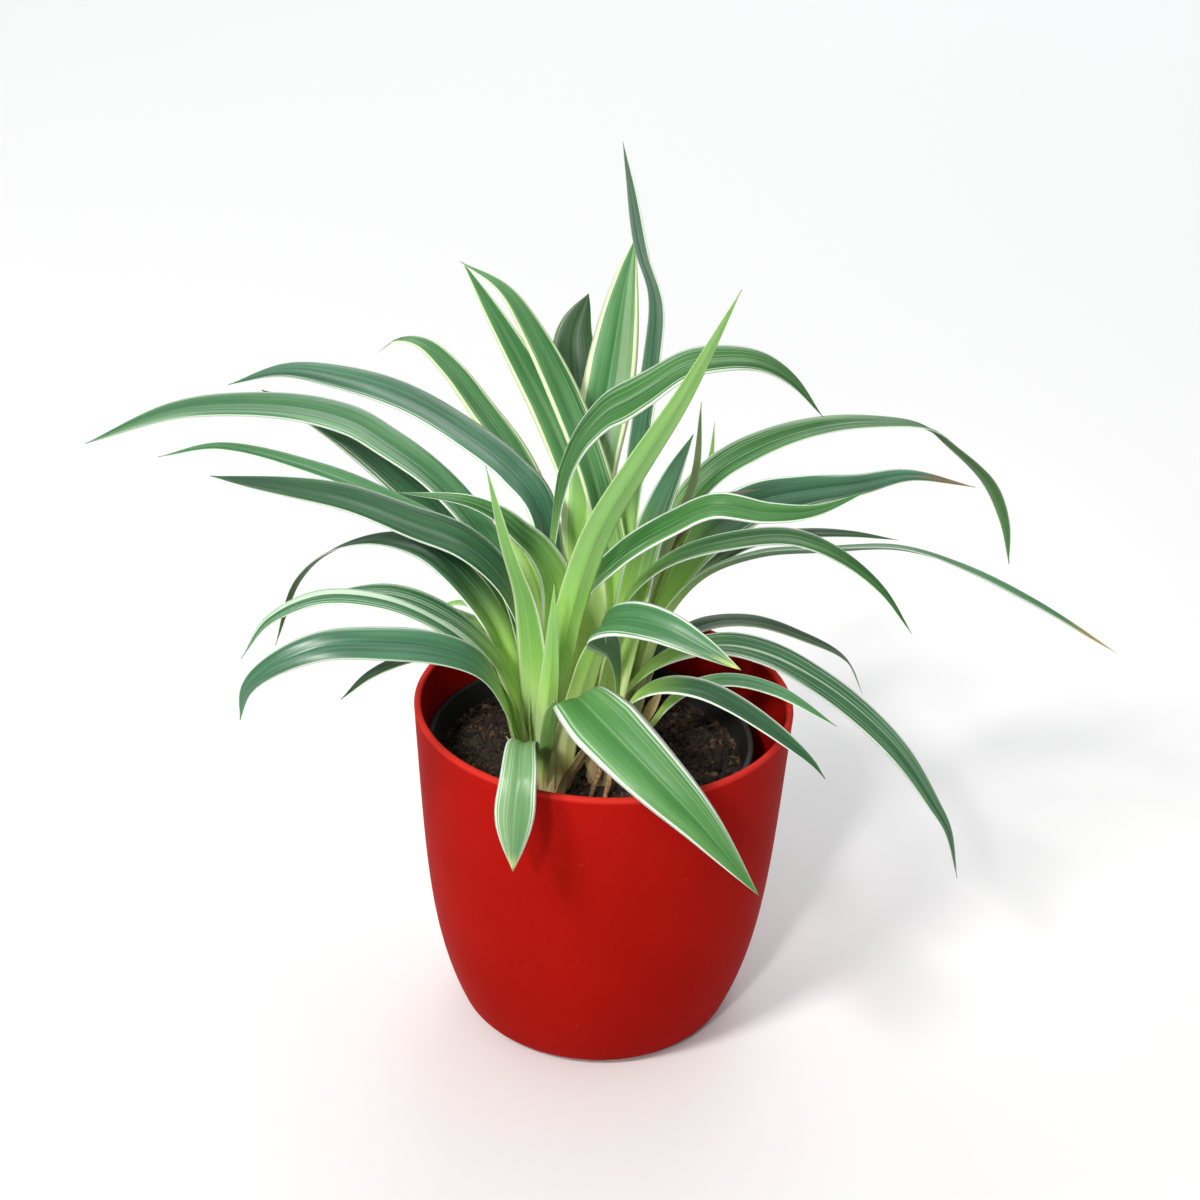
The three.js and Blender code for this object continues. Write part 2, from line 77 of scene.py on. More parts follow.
class Graph:
    """A node tree with short ways to add nodes and join them."""

    def __init__(self, tree: bpy.types.NodeTree) -> None:
        """Works on a given tree."""
        self.tree = tree

    def add(self, kind: str, inputs: dict[int | str, Any] | None = None, **settings: Any) -> bpy.types.Node:
        """Adds one node.

        Args:
            kind: The node's type.
            inputs: What goes into its sockets, by name or number: a socket to join, or a value.
            **settings: Properties of the node itself.

        Returns:
            The new node.
        """
        node = self.tree.nodes.new(kind)
        for name, setting in settings.items():
            setattr(node, name, setting)
        for key, value in (inputs or {}).items():
            if isinstance(value, bpy.types.NodeSocket):
                self.tree.links.new(value, node.inputs[key])
            else:
                node.inputs[key].default_value = value
        return node

    def takes(self, sockets: dict[str, str]) -> dict[str, bpy.types.NodeSocket]:
        """Gives a group its inputs.

        Args:
            sockets: Input names and what each holds: Geometry, Float, Int, Color and so on.

        Returns:
            The sockets to read inside the group, by name.
        """
        for name, holds in sockets.items():
            self.tree.interface.new_socket(name, in_out="INPUT", socket_type=f"NodeSocket{holds}")
        entry = self.tree.nodes.new("NodeGroupInput")
        return {name: entry.outputs[name] for name in sockets}

    def gives(self, sockets: dict[str, tuple[str, bpy.types.NodeSocket]]) -> None:
        """Gives a group its outputs.

        Args:
            sockets: Output names, with what each holds and the socket that feeds it.
        """
        for name, (holds, _) in sockets.items():
            self.tree.interface.new_socket(name, in_out="OUTPUT", socket_type=f"NodeSocket{holds}")
        end = self.tree.nodes.new("NodeGroupOutput")
        for name, (_, source) in sockets.items():
            self.tree.links.new(source, end.inputs[name])

    def math(self, operation: str, *values: Any, clamp: bool = False) -> bpy.types.NodeSocket:
        """A Math node on up to three values, and its result."""
        settings = {"operation": operation, "use_clamp": clamp}
        return self.add("ShaderNodeMath", dict(enumerate(values)), **settings).outputs[0]

    def times(self, *factors: Any) -> bpy.types.NodeSocket:
        """The product of two or more numbers."""
        return reduce(lambda product, factor: self.math("MULTIPLY", product, factor), factors)

    def plus(self, first: Any, second: Any) -> bpy.types.NodeSocket:
        """The sum of two numbers."""
        return self.math("ADD", first, second)

    def minus(self, first: Any, second: Any) -> bpy.types.NodeSocket:
        """The difference of two numbers."""
        return self.math("SUBTRACT", first, second)

    def times_plus(self, value: Any, factor: Any, extra: Any) -> bpy.types.NodeSocket:
        """A number times a factor, plus something more."""
        return self.math("MULTIPLY_ADD", value, factor, extra)

    def vector(self, operation: str, *values: Any) -> bpy.types.NodeSocket:
        """A Vector Math node on up to three vectors, and its result."""
        node = self.add("ShaderNodeVectorMath", dict(enumerate(values)), operation=operation)
        return node.outputs["Value" if operation == "DOT_PRODUCT" else "Vector"]

    def scaled(self, vector: Any, factor: Any) -> bpy.types.NodeSocket:
        """A vector times a number."""
        node = self.add("ShaderNodeVectorMath", {0: vector, "Scale": factor}, operation="SCALE")
        return node.outputs["Vector"]

    def xyz(self, x: Any = 0.0, y: Any = 0.0, z: Any = 0.0) -> bpy.types.NodeSocket:
        """A vector made of three numbers."""
        return self.add("ShaderNodeCombineXYZ", {0: x, 1: y, 2: z}).outputs[0]

    def smooth(self, value: Any, low: Any, high: Any) -> bpy.types.NodeSocket:
        """0 below low, 1 above high, and a smooth step between."""
        settings = {"interpolation_type": "SMOOTHSTEP"}
        return self.add("ShaderNodeMapRange", {0: value, 1: low, 2: high}, **settings).outputs[0]

    def mix(self, factor: Any, first: Any, second: Any, blend: str = "MIX") -> bpy.types.NodeSocket:
        """Two colours mixed by a factor."""
        settings = {"data_type": "RGBA", "blend_type": blend}
        return self.add("ShaderNodeMix", {0: factor, 6: first, 7: second}, **settings).outputs[2]

    def noise(self, place: Any, scale: Any = 1.0, detail: float = 2.0,
              rough: float = 0.5) -> bpy.types.NodeSocket:
        """Noise around 0.5 at a place."""
        inputs = {"Vector": place, "Scale": scale, "Detail": detail, "Roughness": rough}
        return self.add("ShaderNodeTexNoise", inputs).outputs["Fac"]

    def here(self) -> bpy.types.NodeSocket:
        """The shaded point in Object coordinates."""
        return self.add("ShaderNodeTexCoord").outputs["Object"]

    def height(self, spot: Any) -> bpy.types.NodeSocket:
        """How high a point lies."""
        return self.add("ShaderNodeSeparateXYZ", {0: spot}).outputs["Z"]

    def attribute(self, name: str) -> bpy.types.NodeSocket:
        """A number that the mesh carries."""
        return self.add("ShaderNodeAttribute", attribute_name=name).outputs["Fac"]

    def keep(self, geometry: Any, name: str, value: Any, domain: str = "POINT",
             holds: str = "FLOAT") -> bpy.types.NodeSocket:
        """Stores a named attribute on a geometry."""
        inputs = {"Geometry": geometry, "Name": name, "Value": value}
        return self.add("GeometryNodeStoreNamedAttribute", inputs, data_type=holds, domain=domain).outputs[0]

    def drawn(self, low: Any, high: Any, seed: Any) -> bpy.types.NodeSocket:
        """A random number for each point, between two numbers."""
        inputs = {2: low, 3: high, 8: seed}
        return self.add("FunctionNodeRandomValue", inputs, data_type="FLOAT").outputs[1]

    def drawn_vector(self, low: Any, high: Any, seed: Any) -> bpy.types.NodeSocket:
        """A random vector for each point, between two vectors."""
        inputs = {0: low, 1: high, 8: seed}
        return self.add("FunctionNodeRandomValue", inputs, data_type="FLOAT_VECTOR").outputs[0]

    def ends(self, title: str, geometry: Any, finish: Any) -> None:
        """Ends a geometry tree in Realize Instances and Set Material.

        Args:
            title: The output's name.
            geometry: What the tree has made.
            finish: The material.
        """
        whole = self.add("GeometryNodeRealizeInstances", {"Geometry": geometry}).outputs[0]
        dressed = self.add("GeometryNodeSetMaterial", {"Geometry": whole, "Material": finish}).outputs[0]
        self.gives({title: ("Geometry", dressed)})


def group(name: str, build: Callable[[Graph], None], kind: str = "ShaderNodeTree") -> bpy.types.NodeTree:
    """Makes a node group, or finds the one made before.

    Args:
        name: The group's name.
        build: Fills the group with nodes.
        kind: Shader or geometry nodes.

    Returns:
        The group's tree.
    """
    tree = bpy.data.node_groups.get(name)
    if tree is None:
        tree = bpy.data.node_groups.new(name, kind)
        build(Graph(tree))
    return tree


def material(name: str) -> tuple[bpy.types.Material, Graph]:
    """Makes an empty material, and the graph to fill it with.

    Args:
        name: The material's name.

    Returns:
        The material and its graph.
    """
    made = bpy.data.materials.new(name)
    made.use_nodes = True
    made.node_tree.nodes.clear()
    return made, Graph(made.node_tree)


def finish_surface(graph: Graph, shader: dict[str, Any], height: Any, strength: float, depth: float) -> None:
    """Ends a material in a Principled shader with bump.

    Args:
        graph: The material's graph.
        shader: What goes into the Principled shader's sockets.
        height: The bump's height, 0 to 1.
        strength: How much the bump counts.
        depth: What a height of 1 stands for, in metres.
    """
    bump = graph.add("ShaderNodeBump", {"Strength": strength, "Distance": depth, "Height": height})
    surface = graph.add("ShaderNodeBsdfPrincipled", {**shader, "Normal": bump.outputs[0]})
    graph.add("ShaderNodeOutputMaterial", {"Surface": surface.outputs[0]})


def as_mesh(name: str, shape: bmesh.types.BMesh) -> bpy.types.Mesh:
    """Turns a shape under construction into a mesh.

    Args:
        name: The mesh's name.
        shape: The shape, which is freed.

    Returns:
        The mesh.
    """
    mesh = bpy.data.meshes.new(name)
    shape.to_mesh(mesh)
    shape.free()
    return mesh


def linked(name: str, mesh: bpy.types.Mesh) -> bpy.types.Object:
    """A new object in the scene that shows a mesh.

    Args:
        name: The object's name.
        mesh: The mesh.

    Returns:
        The object, at the origin.
    """
    piece = bpy.data.objects.new(name, mesh)
    bpy.context.scene.collection.objects.link(piece)
    return piece


def grown(name: str, mesh: bpy.types.Mesh, tree: bpy.types.NodeTree,
          inputs: dict[str, Any]) -> bpy.types.Object:
    """Runs a Geometry Nodes tree on a mesh and keeps the result as a plain piece.

    Args:
        name: The new piece's name.
        mesh: What the tree starts from.
        tree: The tree.
        inputs: The tree's inputs by name.

    Returns:
        The finished piece, with no modifier left on it.
    """
    piece = linked(name, mesh)
    nodes = piece.modifiers.new("nodes", "NODES")
    nodes.node_group = tree
    for socket in tree.interface.items_tree:
        if socket.in_out == "INPUT" and socket.name in inputs:
            nodes[socket.identifier] = inputs[socket.name]
    settle(piece)
    return piece


def settle(piece: bpy.types.Object) -> None:
    """Turns a piece and its modifiers into one plain mesh.

    Args:
        piece: The piece, which keeps no modifier.
    """
    graph = bpy.context.evaluated_depsgraph_get()
    result = bpy.data.meshes.new_from_object(
        piece.evaluated_get(graph), preserve_all_data_layers=True, depsgraph=graph)
    piece.modifiers.clear()
    piece.data = result


def place(piece: bpy.types.Object, slot: str, *nodes: str) -> None:
    """Hands a finished piece to the frame.

    Args:
        piece: The piece.
        slot: The material slot that its finish stands for; it is not used.
        *nodes: The plain solids that it stands in for.
    """
    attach(piece, "root")
    if nodes:
        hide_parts(*nodes)
    LOG.info("%s: %d faces", piece.name, len(piece.data.polygons))


# ---------------------------------------------------------------- shared effects


def mottle_nodes(graph: Graph) -> None:
    """An uneven tone and a fine grain on Object coordinates, for moulded plastic.

    Args:
        graph: The group's graph.
    """
    sockets = graph.takes({"Base": "Color", "Shade": "Color", "Cloud scale": "Float", "Grain scale": "Float",
                           "Amount": "Float"})
    spot = graph.here()
    cloud = graph.noise(spot, sockets["Cloud scale"], 4.0)
    grain = graph.noise(spot, sockets["Grain scale"], 2.0)
    share = graph.times(graph.smooth(cloud, 0.3, 0.72), sockets["Amount"])
    colour = graph.mix(share, sockets["Base"], sockets["Shade"])
    graph.gives({"Colour": ("Color", colour), "Cloud": ("Float", cloud), "Grain": ("Float", grain)})


# ---------------------------------------------------------------- leaves: finish


@dataclass(frozen=True)
class LeafFinish:
    """The colours of a kind of leaf, and how its skin takes the light.

    Blade and light are its two greens, margin its pale edge, fresh the green near the crown, root
    the paler green under it, foot the tan at the soil, and dry the colour of its tip. Glow is the
    share of the light that passes into the leaf, and glow reach and glow scale how far it goes.
    """

    title: str
    blade: Colour
    light: Colour
    margin: Colour
    fresh: Colour = srgb(190, 238, 106)
    root: Colour = srgb(230, 242, 182)
    foot: Colour = srgb(206, 182, 134)
    underside: Colour = srgb(92, 124, 82)
    dry: Colour = srgb(172, 144, 88)
    stripes: float = 0.2
    roughness: float = 0.36
    sheen: float = 0.34
    glow: float = 0.25
    glow_reach: tuple[float, float, float] = (0.5, 1.0, 0.2)
    glow_scale: float = 1.5 * MM
    relief: float = 0.14 * MM

    def make(self) -> bpy.types.Material:
        """Makes the material, or finds the one made before.

        Returns:
            A material that reads the attributes which every blade carries.
        """
        name = f"leaf_{self.title}"
        if name in bpy.data.materials:
            return bpy.data.materials[name]
        made, graph = material(name)
        skin = graph.add("ShaderNodeGroup", {
            "Blade": self.blade, "Light": self.light, "Margin": self.margin, "Fresh": self.fresh,
            "Root": self.root, "Foot": self.foot, "Underside": self.underside, "Dry": self.dry,
            "Stripes": self.stripes, "Roughness": self.roughness,
        }, node_tree=group("leaf_skin", leaf_skin_nodes))
        shader = {"Base Color": skin.outputs["Colour"], "Roughness": skin.outputs["Roughness"],
                  "Specular IOR Level": self.sheen, "Subsurface Weight": self.glow,
                  "Subsurface Radius": self.glow_reach, "Subsurface Scale": self.glow_scale}
        finish_surface(graph, shader, skin.outputs["Height"], strength=0.25, depth=self.relief)
        return made


Step = tuple[float, float]


@dataclass(frozen=True)
class SkinPattern:
    """Where the layers of a leaf's skin fade in, and how much each of them counts.

    A step is where a fade starts and where it ends. Steps of the blade's two halves run from 0 at the
    midrib to 1 at the edge, or in noise from 0 to 1. The steps of fresh, sheath and pale margin are
    shares of the leaf's reach, counted from its root.
    """

    cloud_step: Step = (0.30, 0.72)
    cloud_share: float = 0.56
    vein_step: Step = (0.38, 0.66)
    vein_share: float = 0.10
    groove_step: Step = (0.24, 0.05)
    groove_share: float = 0.40
    midrib_step: Step = (0.050, 0.018)
    midrib_share: float = 0.45
    line_step: Step = (0.028, 0.009)
    thread_step: Step = (0.64, 0.69)
    inner_line: float = 0.10
    inner_step: Step = (0.040, 0.018)
    inner_breaks: Step = (0.50, 0.58)
    inner_share: Step = (0.4, 1.0)
    line_share: float = 0.85
    softening_width: float = 1.9
    softening_share: float = 0.35
    margin_uneven: float = 1.5
    margin_least: float = 0.25
    margin_edge: Step = (0.022, 0.018)
    margin_step: Step = (0.70, 1.35)
    fresh_step: Step = (1.8, 0.7)
    fresh_share: float = 0.92
    fresh_clouds: float = 0.35
    sheath_step: Step = (1.25, 0.40)
    sheath_share: float = 0.85
    foot_step: Step = (17 * MM, 5 * MM)
    foot_ragged: float = 6 * MM
    foot_share: float = 0.85
    underside_tint: float = 0.6
    underside_share: float = 0.85
    underside_fresh: float = 0.75
    tip_fade: float = 0.05
    least_dry: float = 0.005
    seed_spread: float = 37.0
    sides_apart: float = 40.0
    tone_turns: float = 0.731
    tone_range: Step = (0.92, 1.08)
    underside_rough: float = 0.16
    vein_rough: float = 0.05
    dry_rough: float = 0.3
    vein_height: float = 0.45
    groove_depth: float = 0.4
    flat: float = 0.5


class LeafSkin:
    """Fills a group that gives a leaf its colour, roughness and relief, layer by layer.

    It reads what each blade carries: its place across and along, its run from the root in metres,
    which face is the underside, the seed, the dry share, the rim and the reach.
    """

    def __init__(self, graph: Graph, pattern: SkinPattern) -> None:
        """Reads the group's inputs and the blade's attributes, and makes the clouds and veins.

        Args:
            graph: The group's graph.
            pattern: The skin's numbers.
        """
        self.graph, self.pattern = graph, pattern
        self.sockets = graph.takes({
            "Blade": "Color", "Light": "Color", "Margin": "Color", "Fresh": "Color", "Root": "Color",
            "Foot": "Color", "Underside": "Color", "Dry": "Color", "Stripes": "Float",
            "Roughness": "Float"})
        self.across, self.along, self.run = (graph.attribute(name) for name in ("across", "along", "run"))
        self.underside, self.seed, self.dry = (graph.attribute(name) for name in ("underside", "seed", "dry"))
        self.rim, self.reach = (graph.attribute(name) for name in ("rim", "reach"))
        self.out = graph.math("ABSOLUTE", self.across)
        self.edge = graph.minus(1.0, self.out)
        self.salt = graph.times(self.seed, pattern.seed_spread)
        clouds = self.streaks(wide=1.2, long=18.0, offset=0.0, detail=3.0)
        veins = self.streaks(wide=8.0, long=3.0, offset=5.0, detail=1.0)
        self.clouds = graph.smooth(clouds, *pattern.cloud_step)
        self.veins = graph.smooth(veins, *pattern.vein_step)
        self.tone = graph.times_plus(self.clouds, pattern.cloud_share,
                                     graph.times(self.veins, pattern.vein_share))
        self.groove = graph.smooth(self.out, *pattern.groove_step)
        self.near_root = self.up_the_leaf(pattern.fresh_step)
        self.margin_width = graph.times(self.rim, graph.times_plus(
            self.beside(long=16.0, offset=0.0), pattern.margin_uneven, pattern.margin_least))

    def streaks(self, wide: float, long: float, offset: float, detail: float) -> bpy.types.NodeSocket:
        """Noise drawn out along the leaf.

        Args:
            wide: Cells across the leaf.
            long: Cells per metre along it.
            offset: A shift that keeps it apart from other noise.
            detail: How fine the noise goes.

        Returns:
            The noise, around 0.5.
        """
        graph = self.graph
        spot = graph.xyz(graph.times(self.across, wide), graph.times(self.run, long),
                         graph.plus(self.salt, offset))
        return graph.noise(spot, detail=detail)

    def beside(self, long: float, offset: float) -> bpy.types.NodeSocket:
        """Noise that runs along each margin.

        Args:
            long: Cells per metre along the leaf.
            offset: A shift that keeps it apart from other noise.

        Returns:
            The noise, around 0.5.
        """
        graph = self.graph
        side = graph.times(graph.math("SIGN", self.across), self.pattern.sides_apart)
        spot = graph.xyz(side, graph.times(self.run, long), graph.plus(self.salt, offset))
        return graph.noise(spot, detail=3.0)

    def up_the_leaf(self, step: Step) -> bpy.types.NodeSocket:
        """A fade along the leaf, over a step in shares of its reach."""
        start, end = (self.graph.times(self.reach, share) for share in step)
        return self.graph.smooth(self.run, start, end)

    def ragged(self, amount: float, value: bpy.types.NodeSocket) -> bpy.types.NodeSocket:
        """A place along the leaf, made ragged along its veins."""
        return self.graph.times_plus(self.graph.minus(self.veins, 0.5), amount, value)

    def over(self, mask: Any, share: float, colour: Any, name: str) -> bpy.types.NodeSocket:
        """Lays one of the group's colours over another by a share of a mask."""
        return self.graph.mix(self.graph.times(mask, share), colour, self.sockets[name])

    def green(self) -> bpy.types.NodeSocket:
        """The blade's two greens in soft clouds, with a pale midrib in a darker groove.

        Returns:
            The blade's colour.
        """
        colour = self.graph.mix(self.tone, self.sockets["Blade"], self.sockets["Light"])
        colour = self.over(self.groove, self.pattern.groove_share, colour, "Blade")
        midrib = self.graph.smooth(self.out, *self.pattern.midrib_step)
        return self.over(midrib, self.pattern.midrib_share, colour, "Light")

    def lines(self) -> bpy.types.NodeSocket:
        """The lines of variegation.

        Returns:
            A mask of fine lines and threads, and of the pale line that often runs inside a margin.
        """
        graph, pattern, stripes = self.graph, self.pattern, self.sockets["Stripes"]
        lines = graph.minus(self.streaks(wide=2.7, long=1.6, offset=11.0, detail=0.0), 0.5)
        lines = graph.smooth(graph.math("ABSOLUTE", lines), *pattern.line_step)
        threads = self.streaks(wide=11.0, long=1.8, offset=17.0, detail=0.0)
        threads = graph.smooth(threads, *pattern.thread_step)
        lines = graph.math("MAXIMUM", graph.times(lines, stripes), graph.times(threads, stripes, stripes))
        inner = graph.minus(self.edge, graph.plus(self.margin_width, pattern.inner_line))
        inner = graph.smooth(graph.math("ABSOLUTE", inner), *pattern.inner_step)
        inner = graph.times(inner, graph.smooth(self.beside(long=7.0, offset=3.0), *pattern.inner_breaks))
        least, most = pattern.inner_share
        inner = graph.times(inner, graph.times_plus(stripes, most - least, least))
        return graph.math("MAXIMUM", lines, inner)

    def edged(self, colour: bpy.types.NodeSocket) -> bpy.types.NodeSocket:
        """Puts the lines, the fresh green near the root and the pale margins on the blade.

        Args:
            colour: The blade's colour.

        Returns:
            The colour with them.
        """
        graph, pattern, width = self.graph, self.pattern, self.margin_width
        colour = self.over(self.lines(), pattern.line_share, colour, "Margin")
        softening = graph.smooth(self.edge, graph.times(width, pattern.softening_width), width)
        colour = self.over(softening, pattern.softening_share, colour, "Light")
        clouds = graph.times(self.tone, pattern.fresh_clouds)
        fresh = graph.mix(clouds, self.sockets["Fresh"], self.sockets["Root"])
        colour = graph.mix(graph.times(self.near_root, pattern.fresh_share), colour, fresh)
        outer, inner = pattern.margin_edge
        margin = graph.smooth(self.edge, graph.plus(width, outer), graph.minus(width, inner))
        margin = graph.times(margin, self.up_the_leaf(pattern.margin_step))
        return graph.mix(margin, colour, self.sockets["Margin"])

    def rooted(self, colour: bpy.types.NodeSocket) -> bpy.types.NodeSocket:
        """Pales the sheath towards the crown, and tans it where it meets the soil.

        Args:
            colour: The leaf's colour so far.

        Returns:
            The colour with both.
        """
        pattern = self.pattern
        sheath = self.up_the_leaf(pattern.sheath_step)
        colour = self.over(sheath, pattern.sheath_share, colour, "Root")
        foot = self.graph.smooth(self.ragged(pattern.foot_ragged, self.run), *pattern.foot_step)
        return self.over(foot, pattern.foot_share, colour, "Foot")

    def dulled(self, colour: bpy.types.NodeSocket) -> bpy.types.NodeSocket:
        """Dulls the underside, but for its fresh part.

        Args:
            colour: The leaf's colour so far.

        Returns:
            The colour with a dull underside.
        """
        graph, pattern = self.graph, self.pattern
        dull = graph.mix(pattern.underside_tint, colour, self.sockets["Underside"])
        greened = graph.minus(1.0, graph.times(self.near_root, pattern.underside_fresh))
        return graph.mix(graph.times(self.underside, greened, pattern.underside_share), colour, dull)

    def dry_tip(self) -> bpy.types.NodeSocket:
        """A mask of the dry tip, ragged along the veins.

        Returns:
            0 on the green blade and 1 on the dry tip.
        """
        graph, fade = self.graph, self.pattern.tip_fade
        start = graph.minus(1.0, self.dry)
        tip = graph.smooth(self.ragged(fade, self.along), start, graph.plus(start, fade))
        return graph.times(tip, graph.smooth(self.dry, 0.0, self.pattern.least_dry))

    def build(self) -> None:
        """Joins the layers; no two leaves are quite of one tone."""
        graph, sockets, pattern = self.graph, self.sockets, self.pattern
        tip = self.dry_tip()
        colour = self.dulled(self.rooted(self.edged(self.green())))
        colour = graph.mix(tip, colour, sockets["Dry"])
        darkest, lightest = pattern.tone_range
        own = graph.math("FRACT", graph.times(self.seed, pattern.tone_turns))
        own = graph.times_plus(own, lightest - darkest, darkest)
        colour = graph.add("ShaderNodeHueSaturation", {"Value": own, "Color": colour}).outputs[0]
        roughness = graph.times_plus(self.underside, pattern.underside_rough, sockets["Roughness"])
        roughness = graph.times_plus(self.veins, pattern.vein_rough, roughness)
        roughness = graph.times_plus(tip, pattern.dry_rough, roughness)
        sunk = graph.minus(pattern.flat, graph.times(self.groove, pattern.groove_depth))
        height = graph.times_plus(self.veins, pattern.vein_height, sunk)
        graph.gives({"Colour": ("Color", colour), "Roughness": ("Float", roughness),
                     "Height": ("Float", height)})


def leaf_skin_nodes(graph: Graph) -> None:
    """A leaf's colour, roughness and relief."""
    LeafSkin(graph, SkinPattern()).build()


CREAM = srgb(216, 230, 208)
YELLOW_CREAM = srgb(222, 234, 186)


class Tone(Enum):
    """The kinds of leaf on the plant."""

    GREEN = LeafFinish("green", srgb(50, 104, 58), srgb(102, 156, 104), CREAM, sheen=0.5)
    LEAFY = LeafFinish("leafy", srgb(60, 114, 54), srgb(104, 154, 88), CREAM, stripes=0.1)
    SOFT = LeafFinish("soft", srgb(84, 126, 78), srgb(134, 166, 116), CREAM, dry=srgb(198, 196, 132),
                      stripes=0.35)
    TIPPED = LeafFinish("tipped", srgb(42, 92, 50), srgb(92, 140, 92), CREAM, dry=srgb(192, 208, 124))
    DEEP = LeafFinish("deep", srgb(30, 68, 40), srgb(70, 114, 76), CREAM, stripes=0.1, roughness=0.33,
                      sheen=0.3)
    MOSS = LeafFinish("moss", srgb(44, 92, 40), srgb(88, 138, 76), CREAM, sheen=0.2)
    # Painted shade: a darker, greyer copy of the green with a dimmed margin, for leaves that sit in shadow.
    DARK = LeafFinish("dark", srgb(44, 72, 46), srgb(76, 106, 72), srgb(176, 184, 158), sheen=0.2)
    STRIPED = LeafFinish("striped", srgb(42, 88, 52), srgb(88, 134, 94), CREAM, stripes=0.7)
    BLUISH = LeafFinish("bluish", srgb(38, 84, 54), srgb(88, 138, 104), CREAM, dry=srgb(122, 98, 76),
                        roughness=0.33, sheen=0.5)
    FRESH = LeafFinish("fresh", srgb(144, 208, 88), srgb(188, 230, 146), srgb(222, 240, 178), stripes=0.1,
                       fresh=srgb(190, 238, 108), root=srgb(234, 246, 192))
    LIME = LeafFinish("lime", srgb(110, 176, 62), srgb(156, 212, 104), srgb(224, 240, 184), stripes=0.15,
                      fresh=srgb(164, 216, 92), root=srgb(234, 246, 192))
    SUNNY = LeafFinish("sunny", srgb(54, 110, 56), srgb(112, 164, 108), YELLOW_CREAM)
    OLIVE = LeafFinish("olive", srgb(100, 116, 52), srgb(146, 154, 88), srgb(186, 184, 116))
    PALE = LeafFinish("pale", srgb(122, 174, 82), srgb(176, 210, 136), CREAM)
    BROWN = LeafFinish("brown", srgb(88, 78, 48), srgb(126, 110, 72), srgb(146, 128, 88))
    SHEATH = LeafFinish("sheath", srgb(140, 192, 86), srgb(190, 224, 136), srgb(206, 224, 166), stripes=0.1,
                        fresh=srgb(184, 232, 100), root=srgb(232, 240, 176), foot=srgb(198, 166, 114))
    HUSK = LeafFinish("husk", srgb(200, 180, 132), srgb(224, 212, 166), srgb(224, 210, 168),
                      fresh=srgb(216, 208, 150), root=srgb(200, 172, 124), underside=srgb(196, 166, 118),
                      roughness=0.6)


# ---------------------------------------------------------------- leaves: shape


KEEL = 0.12  # how round the channel's bottom is, as a share of half the width
MARGIN_PHASE = 1.1  # by how much the waves of the two margins are out of step
END_STEEPNESS = 120.0  # how soon a blade gains its thickness from either end
SLIM_BELOW = 2.0 * MM  # half the width below which a blade gets thinner
MERGED_WITHIN = 0.001 * MM


